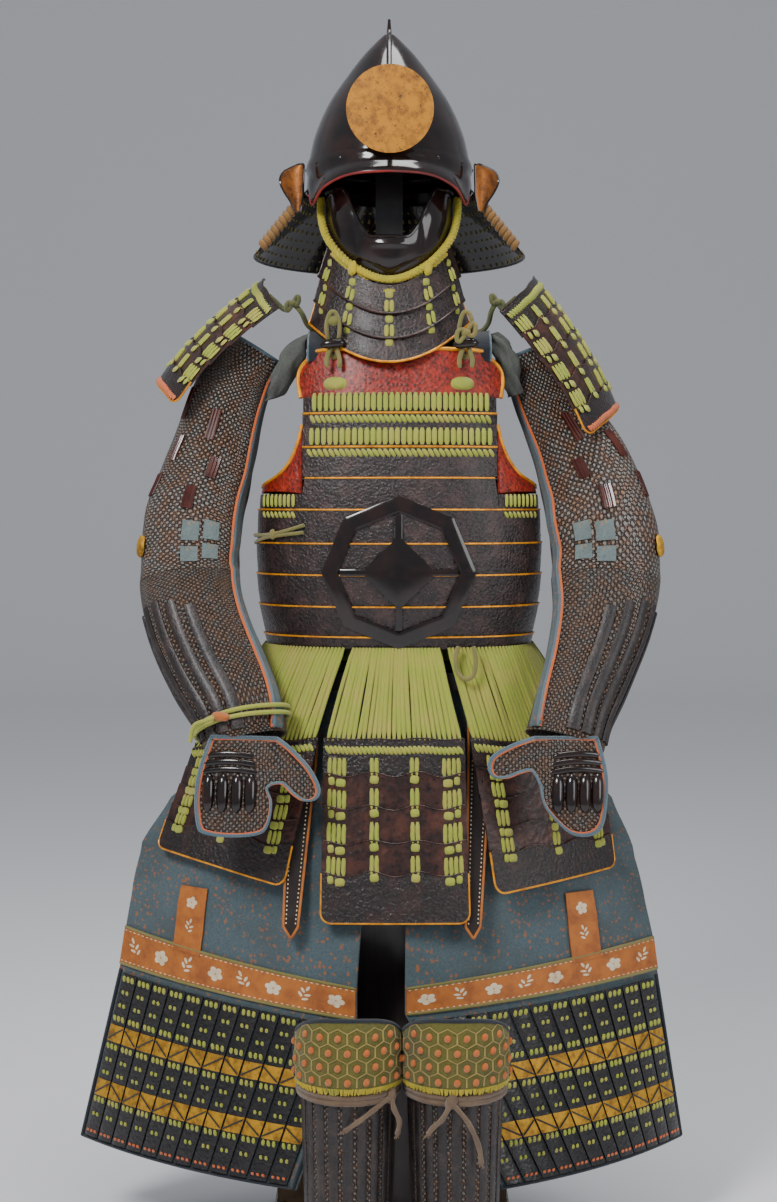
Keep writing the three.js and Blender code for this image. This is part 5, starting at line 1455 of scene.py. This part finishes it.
# Thigh guards: outer and inner edge of the cloth at each row, from the belt to the hem.
APRONS = {
    "left": [
        ((-148.6, -14, 808), (-14, -102, 808)), ((-236, -12, 690), (-24, -128, 690)),
        ((-310, -18, 630), (-30, -142, 640)), ((-352, -20, 566), (-36, -153, 570)),
        ((-367, -20, 506), (-41, -168, 490)), ((-377, -20, 446), (-47, -182, 396)),
        ((-386, -15, 391), (-47, -187, 354)), ((-450, 20, 129), (-127, -205, 128)),
    ],
    "right": [
        ((170, -14, 808), (34, -102, 808)), ((250, -12, 690), (30, -128, 690)),
        ((308, -18, 630), (25, -142, 640)), ((339, -20, 560), (21, -153, 570)),
        ((356, -20, 496), (18, -168, 490)), ((370, -20, 431), (17, -182, 396)),
        ((377, -15, 383), (17, -187, 361)), ((419, 20, 129), (140, -205, 128)),
    ],
}
APRON_BULGE = 22
FOLD = 5  # depth of the soft folds in the plain cloth
FOLD_ROWS = [0, 0.4, 1, 1, 0.6, 0, 0, 0]
BAND_TOP_ROW, BAND_FOOT_ROW = 5, 6
PLATE_LIFT = {"left": 3.4, "right": 4.6}


def apron_surface(side):
    """Thigh guard's cloth at a place across it (0 is its outer edge) and a row down it."""
    rows = [(V(*o), V(*i)) for o, i in APRONS[side]]

    def at(u, v, off):
        k = min(int(v), len(rows) - 2)
        t = v - k
        outer, inner = rows[k][0].lerp(rows[k + 1][0], t), rows[k][1].lerp(rows[k + 1][1], t)
        outs = []
        for r in (k, k + 1):
            along = rows[r][1] - rows[r][0]
            along.z = 0
            along.normalize()
            outs.append(V(along.y, -along.x, 0) if side == "left" else V(-along.y, along.x, 0))
        out = outs[0].lerp(outs[1], t)
        depth = mix(FOLD_ROWS[k], FOLD_ROWS[k + 1], ease(t))
        wave = FOLD * depth * math.sin(u * 15 + v * 0.8)
        crease = rough(V(u * 330, v * 60, 0), 30, 3.2) * clamp(depth + 0.08) * ease(min(v, 5.2 - v) / 0.6)
        return outer.lerp(inner, u) + out * (off + APRON_BULGE * (1 - (2 * u - 1) ** 2) + wave + crease)
    return at


class Painting:
    """Shapes painted on a surface at(u, v, off), whose u and v are `across` and `down` mm long."""

    def __init__(self, shape, at, across, down):
        self.shape, self.at, self.across, self.down = shape, at, across, down

    def stroke(self, place, foot, turn, middle, half, count):
        """Oval at an angle from a foot: the distance of its middle, and its half sizes, in mm."""
        sin, cos = math.sin(math.radians(turn)), math.cos(math.radians(turn))

        def stroke_at(a, t, off):
            reach = middle + half[0] * t * math.cos(math.radians(a))
            aside = half[1] * t * math.sin(math.radians(a))
            x, z = foot[0] + reach * sin + aside * cos, foot[1] + reach * cos - aside * sin
            return self.at(place[0] + x / self.across, place[1] - z / self.down, off + 0.55)
        self.shape.shell(stroke_at, circle(count), [0.001, 0.6, 1.0], 0.5, around=True)

    def flower(self, u, v, size, turn):
        """Flower with five petals."""
        for k in range(5):
            self.stroke((u, v), (0, 0), 72 * k + turn, 0.5 * size, (0.42 * size, 0.36 * size), 12)

    def sprig(self, u, v, size, lean):
        """Bent stem with paired leaves and one at its tip."""
        for k in range(5):
            turn = lean + (0 if k == 4 else -52 if k % 2 else 52)
            stem = mix(-0.7, 0.5, k / 4) * size
            foot = (stem * math.sin(math.radians(lean)), stem * math.cos(math.radians(lean)))
            self.stroke((u, v), foot, turn, 0.42 * size, (0.36 * size, 0.15 * size), 10)


# Rows of lacing on the plates: place down the plate, half height and kind.
STUD_ROWS = [(0.03, 4.6), (0.11, 3.2), (0.19, 3.2), (0.27, 4.6), (0.44, 4.6), (0.52, 3.2), (0.60, 3.2),
             (0.77, 4.6), (0.86, 3.2)]
GOLD_BANDS = [(0.31, 0.41), (0.645, 0.745)]
PLATE_COLUMNS = 12
BAND_SIZE = (345, 55)  # length and width of a leather band, which its flowers are drawn to
STRAP_DROP = 72  # length of one row of the cloth under the short strap

for side in SIDES:
    at = apron_surface(side)
    us = steps(0, 1, 60) if side == "left" else steps(1, 0, 60)
    cloth = Shape()
    cloth.shell(lambda u, v, off: at(u, v, off + CLOTH), us, steps(0, 7, 112), CLOTH)
    made = cloth.piece(f"thigh_cloth_{side}_sheet", TEAL, "blue_cloth", f"thigh_cloth_{side}")

    face = CLOTH + 0.5

    def on_band(u, v, off):
        return at(u, v, off + face + 2.2)

    def on_strap(u, v, off):
        return at(u, v, off + face + 3.4)
    band, edge, stitches, prints = Shape(), Shape(), Shape(), Shape()
    band.shell(on_band, us, steps(BAND_TOP_ROW, BAND_FOOT_ROW, 10), 2.0)
    strap_us = steps(3 / 12, 4.5 / 12, 8) if side == "left" else steps(4.5 / 12, 3 / 12, 8)
    band.shell(on_strap, strap_us, steps(3.8, 5.15, 12), 2.0)
    band.piece(f"thigh_band_{side}_leather", BAND, "orange_leather", f"thigh_band_{side}")
    for row in (BAND_TOP_ROW + 0.02, BAND_FOOT_ROW - 0.02):
        edge.strip(on_band, [(u, row) for u in us], 0, 4.2, 1.4, 5)
    edge.piece(f"thigh_band_{side}_edge", OLIVE, "gilt")
    for u in spread(0, 1, 46):
        for row in (BAND_TOP_ROW + 0.1, BAND_FOOT_ROW - 0.1):
            middle = on_band(u, row, 0)
            stitches.pad(middle, on_band(u + 0.01, row, 0) - middle, normal_of(on_band, u, row),
                         2.4, 0.8, 0.8, 2.2, 6, 2)
    stitches.piece(f"thigh_band_{side}_stitches", PRINT, "orange_leather")
    painting = Painting(prints, on_band, *BAND_SIZE)
    for k, u in enumerate((0.07, 0.2, 0.32, 0.45, 0.57, 0.69, 0.81, 0.93)):
        if k % 2:
            painting.flower(u, 5.5, 12.5, 14 * k)
        else:
            painting.sprig(u, 5.5, 13, 24 if k % 4 else -28)
    painting = Painting(prints, on_strap, BAND_SIZE[0], STRAP_DROP)
    painting.flower(3.75 / 12, 4.12, 9.5, 10)
    painting.sprig(3.75 / 12, 4.6, 10, 12)
    prints.piece(f"thigh_band_{side}_flowers", PRINT, "orange_leather")

    # Twelve tall plates, laced to each other in rows with gilt bands between.
    lift = face + PLATE_LIFT[side]

    def on_plate_row(u, t, off):
        return at(u, 6.04 + 0.93 * t, off + lift + 2.2)
    plates, gold, studs, dots, laces, hem = Shape(), Shape(), Shape(), Shape(), Shape(), Shape()
    for i in range(PLATE_COLUMNS):
        u0, u1 = (mix(0.03, 0.97, (i + t) / PLATE_COLUMNS) for t in (0.05, 0.95))
        cu = steps(u0, u1, 6) if side == "left" else steps(u1, u0, 6)
        mid = (u0 + u1) / 2

        def on_one(u, t, off, mid=mid, half=(u1 - u0) / 2):
            return on_plate_row(u, t, off - 1.2 * abs((u - mid) / half) ** 4)
        plates.shell(on_one, cu, steps(0, 1, 24), 2.4)
        for low, high in GOLD_BANDS:
            gold.shell(lambda u, t, off, f=on_one: f(u, t, off + 0.5), cu, steps(low, high, 3), 0.9)
            ends = (low + 0.01, high - 0.01) if i % 2 else (high - 0.01, low + 0.01)
            path = [on_plate_row(mix(u0, u1, t), mix(*ends, t), 1.1) for t in steps(0, 1, 8)]
            laces.ribbon(path, [normal_of(on_plate_row, mid, low)] * 9, 2.2, 1.5, 5)
        for row, half in STUD_ROWS:
            for k in (-1, 0, 1) if half > 4 else (-0.5, 0.5):
                u = mid + k * (u1 - u0) * 0.29
                centre, normal = on_plate_row(u, row, 0.2), normal_of(on_plate_row, mid, row)
                tilt = V(chance.uniform(-0.25, 0.25), 0, 1)
                studs.pad(centre, tilt, normal, half, 3.0 if half > 4 else 2.6, 1.7, 2.6, 8, 2)
        for k in (-1, 0, 1):
            centre = on_plate_row(mid + k * (u1 - u0) * 0.29, 0.965, 0.2)
            dots.pad(centre, V(1, 0, 0), normal_of(on_plate_row, mid, 0.96), 2.8, 2.2, 1.2, 2.6, 8, 2)
    plates.piece(f"thigh_plates_{side}_lacquer", PITCH, "black_lacquer", f"thigh_plates_{side}")
    gold.piece(f"thigh_plates_{side}_gilt_bands", BRASS, "gilt")
    laces.piece(f"thigh_plates_{side}_lacing", BLACK_CORD, "black_lacquer")
    studs.piece(f"thigh_plates_{side}_knots", LACE, "green_lace")
    dots.piece(f"thigh_plates_{side}_orange_knots", ORANGE, "green_lace")
    for u in (0.012, 0.988):
        hem.tube([at(u, v, CLOTH + 1.0) for v in steps(6.03, 6.99, 30)], 3.0, 8)
    hem.tube([at(u, 6.99, CLOTH + 0.6) for u in steps(0.012, 0.988, 50)], 2.4, 8)
    hem.piece(f"thigh_guard_{side}_piping", NAVY, "blue_cloth")

# Waist belt round the stand's board, and long patterned straps that hang from it.
BELT = {"a": 176, "front": 122, "behind": 100, "low": 790, "high": 814}
belt = Shape()


def belt_at(turn, v, off):
    sin, cos = squared(math.sin(math.radians(turn))), squared(math.cos(math.radians(turn)))
    depth = BELT["front"] if cos > 0 else BELT["behind"]
    off += CLOTH
    return V(TORSO_X + (BELT["a"] + off) * sin, -(depth + off) * cos, mix(BELT["high"], BELT["low"], v))


belt.shell(belt_at, circle(120), steps(0, 1, 4), CLOTH, around=True)
STRAPS = {  # height, X and Y of the left edge, X and Y of the right edge
    "left": [(804, -140, -98.2, -102, -107.3), (700, -142, -119.4, -102, -129), (478, -147, -178, -126, -183),
             (462, -138, -182, -134, -183)],
    "right": [(804, 103, -114.6, 134, -107.2), (700, 103, -129, 136, -121.1), (478, 98, -184, 119, -179),
              (462, 107, -184, 111, -183)],
}
border, marks = Shape(), Shape()
for side, rows in STRAPS.items():
    def on_strap(u, v, off, rows=rows):
        z = mix(rows[0][0], rows[-1][0], v)
        i = 0 if z > rows[1][0] else 1 if z > rows[2][0] else 2
        a, b = rows[i], rows[i + 1]
        t = (a[0] - z) / (a[0] - b[0])
        row = [mix(p, q, t) for p, q in zip(a, b)]
        return V(mix(row[1], row[3], u), mix(row[2], row[4], u) - off, z)
    belt.shell(on_strap, steps(0, 1, 6), steps(0, 1, 60), 2.4)
    outline = [*((0.03, v) for v in steps(0, 0.953, 30)), (0.4, 0.997), (0.6, 0.997),
               *((0.97, v) for v in steps(0.953, 0, 30))]
    border.ribbon([on_strap(u, v, 0.1) for u, v in outline], [V(0, -1, 0)] * len(outline), 3.6, 1.1, 4)
    for k in range(58):
        v = mix(0.01, 0.94, k / 57)
        for u in (0.2, 0.8):
            marks.pad(on_strap(u, v, 0), V(0, 0, 1), V(0, -1, 0), 1.5, 1.1, 0.6, 2, 6, 2)
belt.piece("thigh_belt_cloth", STRAP_CLOTH, "blue_cloth", "thigh_belt")
border.piece("hanging_strap_borders", BAND, "orange_leather")
marks.piece("hanging_strap_stars", PRINT, "blue_cloth")

# Shin guards standing in front, open at the back: upright splints with mail between.
SHIN = {"apart": 70, "y": -245, "a": 61, "b": 68, "ankle": 0.86, "top": 372, "ends": 104, "splint": 2.4}
CAP_FOOT, CAP_ENDS = 293, 84  # height of a knee cap's foot, angle of its ends
KNEE_PAD = 8
TIE_Z = 283
TAIL = 7.0  # thickness of the free ends
CELL = 22  # size of a cell in the net on a knee cap
CAP_DEGREE = 66 * math.pi / 180  # length of a degree round a knee cap
TIE_KNOTS = {  # turn of the knot, ends as X, Y, Z
    "left": (52, [[(-34, -320, 264), (-62, -327, 246)], [(2, -300, 268), (9, -298, 250), (6, -296, 232)]]),
    "right": (-6, [[(64, -324, 262), (52, -322, 250), (45, -320, 240)],
                   [(96, -325, 258), (110, -320, 226), (114, -316, 200)]]),
}


def shin_point(side, turn, z, off):
    """Point round a shin guard, by its angle from the front and its height."""
    taper = mix(SHIN["ankle"], 1, clamp(z / 280))
    sin, cos = math.sin(math.radians(turn)), math.cos(math.radians(turn))
    return V(SHIN_X + SIDES[side] * SHIN["apart"] + (SHIN["a"] * taper + off) * sin,
             SHIN["y"] - (SHIN["b"] * taper + off) * cos, z)


def cap_top(turn):
    """Height of a knee cap's rounded top at an angle round the shin."""
    return 387 - 34 * min(1, abs(turn) / CAP_ENDS) ** 2.6


def net_cells():
    """Middles of the cells of the net on a cap: distance round it from its front, and height."""
    cells = []
    for row in range(5):
        for column in range(9):
            x, z = (column - 4 + 0.5 * (row % 2)) * CELL, 308 + row * CELL * math.sqrt(3) / 2
            if abs(x) < 92 and z + CELL * 0.5 < cap_top(x / CAP_DEGREE):
                cells.append((x, z))
    return cells


for side in SIDES:
    legs, splints = Shape(), Shape()

    def leg_at(turn, v, off):
        z = mix(min(SHIN["top"], cap_top(turn) - 8), 0.4, v)
        return shin_point(side, turn, z, off + rough(V(turn, 0, z), 60, 1.0))
    legs.shell(leg_at, steps(-SHIN["ends"], SHIN["ends"], 60), steps(0, 1, 60), 2)
    legs.piece(f"shin_guard_{side}_cloth", FORE_MAIL, "mail_cloth", f"shin_guard_{side}")
    for k in range(11):
        turn = mix(-92, 92, k / 10)

        def splint_at(u, z, off, turn=turn):
            return shin_point(side, turn + mix(-6.4, 6.4, u), z, off + 0.8 + 1.6 * math.sin(math.pi * u) ** 0.6)
        splints.shell(splint_at, steps(0, 1, 6), steps(290, 6, 30), 1.2)
    splints.piece(f"shin_guard_{side}_splints", SPLINTS, "black_lacquer")

    # Padded brocade cap with a net of gold thread, orange knots and a frayed foot.
    def cap_at(turn, v, off):
        edge = abs(turn) / CAP_ENDS
        z = mix(cap_top(turn), CAP_FOOT, v)
        puff = mix(0.35, 1, (1 - abs(2 * clamp(v) - 1) ** 4) * (1 - 0.6 * edge**6))
        quilt = 0.9 * abs(math.sin(turn * 0.21)) * abs(math.sin(z * 0.17)) * puff
        return shin_point(side, turn, z, SHIN["splint"] + 3.4 + KNEE_PAD * puff * 0.86 + quilt + off)
    cap, net, knots, piping, fray = Shape(), Shape(), Shape(), Shape(), Shape()
    cap.shell(cap_at, steps(-CAP_ENDS, CAP_ENDS, 70), steps(0, 1, 30), 2.2)
    made = cap.piece(f"knee_cap_{side}_brocade", BROCADE, "brocade", f"knee_cap_{side}")

    def on_cap(x, z):
        turn = clamp(x / CAP_DEGREE, 1 - CAP_ENDS, CAP_ENDS - 1)
        return cap_at(turn, clamp((cap_top(turn) - z) / (cap_top(turn) - CAP_FOOT)), 0.6)
    for x, z in net_cells():
        corners = [(x + CELL * 0.56 * math.sin(math.radians(a)), z + CELL * 0.56 * math.cos(math.radians(a)))
                   for a in (-120, -60, 0, 60, 120)]
        net.tube([on_cap(*p) for p in corners], 0.8, 6)
        outward = (on_cap(x, z) - shin_point(side, x / CAP_DEGREE, z, 0)).normalized()
        knots.pad(on_cap(x, z), V(0.4, 0, 1), outward, 5.2, 4.6, 3.8, 2, 10)
    net.piece(f"knee_cap_{side}_thread", THREAD, "gold_cord")
    knots.piece(f"knee_cap_{side}_knots", KNOT, "orange_leather")
    piping.tube([cap_at(turn, 0.0, -0.5) for turn in steps(-CAP_ENDS, CAP_ENDS, 60)], 3.0, 8)
    for turn in (-CAP_ENDS, CAP_ENDS):
        piping.tube([cap_at(turn, v, -0.5) for v in steps(0, 1, 16)], 2.6, 8)
    piping.piece(f"knee_cap_{side}_piping", NAVY, "blue_cloth")
    for k in range(120):
        turn = mix(-82, 82, k / 119) + chance.uniform(-0.5, 0.5)
        top = cap_at(turn, 0.93, 0.4)
        foot = cap_at(turn + chance.uniform(-1.2, 1.2), 1.0, 0.5) + V(0, 0, -chance.uniform(0.2, 2.6))
        fray.tube([top, top.lerp(foot, 0.5) + V(0, -0.5, 0), foot], 0.9, 5)
    fray.piece(f"knee_cap_{side}_fringe", CHIN, "gold_cord")

    # Hemp tie under the cap, knotted with two free ends.
    turn, ends = TIE_KNOTS[side]
    off = SHIN["splint"] + 3.6
    tie = Shape()
    for z in (TIE_Z + 3.6, TIE_Z - 3.6):
        turns = steps(-98, 98, 60)
        path = [shin_point(side, t, z + rough(V(t, 0, z), 20, 1.0), off - 1) for t in turns]
        outs = [(shin_point(side, t, z, 1) - shin_point(side, t, z, 0)).normalized() for t in turns]
        tie.ribbon(path, outs, 8.2, 3.4, 6, 0.8)
    seat = shin_point(side, turn, TIE_Z, off + 3)
    outward = (seat - shin_point(side, turn, TIE_Z, 0)).normalized()
    tie.pad(seat, V(0.5, 0, 1), outward, 11, 7.5, 6.5, 2.2, 14)
    tie.pad(seat + outward * 1.5, V(1, 0, 0.4), outward, 6, 8.5, 6, 2.2, 14)
    for number, path in enumerate(ends, 1):
        line = smooth_line([seat + outward * 2, *(V(*p) for p in path)], 24)
        tail = Shape()
        tail.tube(line, [TAIL / 2 + 0.3 * math.sin(i * 0.9) for i in range(24)] + [2.6], 8)
        made = tail.piece(f"shin_tie_{side}_tail_{number}", HEMP, "hemp")
        [c * MM for c in line[0]]
        lengths(line)[-1] * MM
        [[c * MM for c in p] for p in line]
        tip, before = line[-1], line[-4]
        for k in range(7):
            spread = V(chance.uniform(-3, 3), chance.uniform(-2, 2), 0)
            frayed = tip + (tip - before).normalized() * 5 + spread * 1.3
            tie.tube([tip + spread * 0.2, tip.lerp(frayed, 0.5) + spread * 0.2, frayed], [1.2, 1.0, 0.5], 5)
    tie.piece(f"shin_tie_{side}_hemp", HEMP, "hemp", f"shin_tie_{side}")

# Lacquered chest with plain bronze corners, and the black stand.
FITTING = 46  # length of a corner fitting along each face
CHEST_RINGS = [  # half width, front, back, height
    (168, -82, 118, 0.3), (168, -82, 118, 44), (160, -74, 110, 50), (160, -74, 110, 548), (170, -84, 120, 552),
    (170, -84, 120, 590), (162, -76, 112, 604),
]
chest = Shape()
ring_rows = []
for half, y0, y1, z in CHEST_RINGS:
    ring_rows.append([V(-half, y0, z), V(half, y0, z), V(half, y1, z), V(-half, y1, z), V(-half, y0, z)])
for a, b in zip(ring_rows, ring_rows[1:]):
    chest.grid([a, b], [[(p.x + p.y, p.z) for p in row] for row in (a, b)])
for row in (ring_rows[0], ring_rows[-1]):
    start = len(chest.points)
    chest.points += row[:4]
    chest.uvs += [(p.x, p.y) for p in row[:4]]
    face = (start, start + 1, start + 2, start + 3)
    chest.faces.append(face if row is ring_rows[-1] else face[::-1])
chest.piece("stand_chest_lacquer", CHEST_WOOD, "chest_wood", "stand_chest")
fittings = Shape()
for x, flip in ((-160, 1), (160, -1)):
    for y, back in ((-74, 1), (110, -1)):
        for z0, z1 in ((56, 104), (494, 542)):
            for along, out in ((V(flip, 0, 0), V(0, -back, 0)), (V(0, back, 0), V(-flip, 0, 0))):
                def fitting_at(u, v, off):
                    return V(x, y, mix(z1, z0, v)) + along * (FITTING * u) + out * (off + 1.0)
                us = steps(0, 1, 6) if along.cross(out).z < 0 else steps(1, 0, 6)
                fittings.shell(fitting_at, us, steps(0, 1, 4), 1.4)
                for u, v in ((0.2, 0.15), (0.85, 0.15), (0.2, 0.85), (0.85, 0.85)):
                    fittings.pad(fitting_at(u, v, 0), V(0, 0, 1), out, 2.6, 2.6, 1.8, 2, 10)
fittings.piece("stand_chest_fittings", BRONZE, "gilt")

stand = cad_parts["stand_frame"]
stand.data.materials.clear()
stand.data.materials.append(STAND_WOOD)

# Pale studio floor that curves up into a backdrop, soft lights and the photo's camera.
floor = Shape()
FLOOR_HALF, FLOOR_END = 12000, 7500
SWEEP, WALL_TOP = 2500, 9000  # radius of the curve into the wall, height of the wall
turns = steps(0, math.pi / 2, 16)[1:]
profile = [(-FLOOR_HALF, 0), (FLOOR_END, 0),
           *((FLOOR_END + SWEEP * math.sin(a), SWEEP * (1 - math.cos(a))) for a in turns),
           (FLOOR_END + SWEEP, WALL_TOP)]
rows = [[V(x, y, z) for y, z in profile] for x in (-FLOOR_HALF, FLOOR_HALF)]
floor.grid(rows, [[(p.x, p.y) for p in row] for row in rows])
mesh = bpy.data.meshes.new("studio_floor")
mesh.from_pydata([p * MM for p in floor.points], [], floor.faces)
mesh.shade_smooth()
PAPER = Surface("studio_paper", Base_Color=(0.78, 0.78, 0.8, 1), Roughness=0.9)
mesh.materials.append(PAPER.material)
backdrop = bpy.data.objects.new("studio_floor", mesh)
bpy.context.scene.collection.objects.link(backdrop)

world = bpy.data.worlds.new("studio")
bpy.context.scene.world = world
world.use_nodes = True
world.node_tree.nodes["Background"].inputs["Color"].default_value = (0.9, 0.94, 1.0, 1)
world.node_tree.nodes["Background"].inputs["Strength"].default_value = 0.42

LIGHTS = [  # name, place, aim, size, watts
    ("key", (-1300, -2300, 2800), (0, 0, 1000), 1.0, 95),
    ("fill", (2200, -1900, 1500), (0, 0, 900), 1.6, 32),
    ("top", (200, -200, 3300), (0, -80, 1000), 1.2, 40),
]
for name, place, aim, size, watts in LIGHTS:
    light = bpy.data.lights.new(name, "AREA")
    light.shape, light.size, light.energy = "DISK", size, watts
    lamp = bpy.data.objects.new(name, light)
    lamp.location = V(*place) * MM
    lamp.rotation_euler = (V(*aim) - V(*place)).to_track_quat("-Z", "Y").to_euler()
    bpy.context.scene.collection.objects.link(lamp)

lens = bpy.data.cameras.new("photo_camera")
lens.lens, lens.sensor_width, lens.sensor_fit = 59.03, 36, "AUTO"
lens.clip_end = 50
camera = bpy.data.objects.new("photo_camera", lens)
camera.location = (-0.005, -2.8, 1.05)
camera.rotation_euler = (math.radians(90 - 2.93), 0, 0)
bpy.context.scene.collection.objects.link(camera)
bpy.context.scene.camera = camera
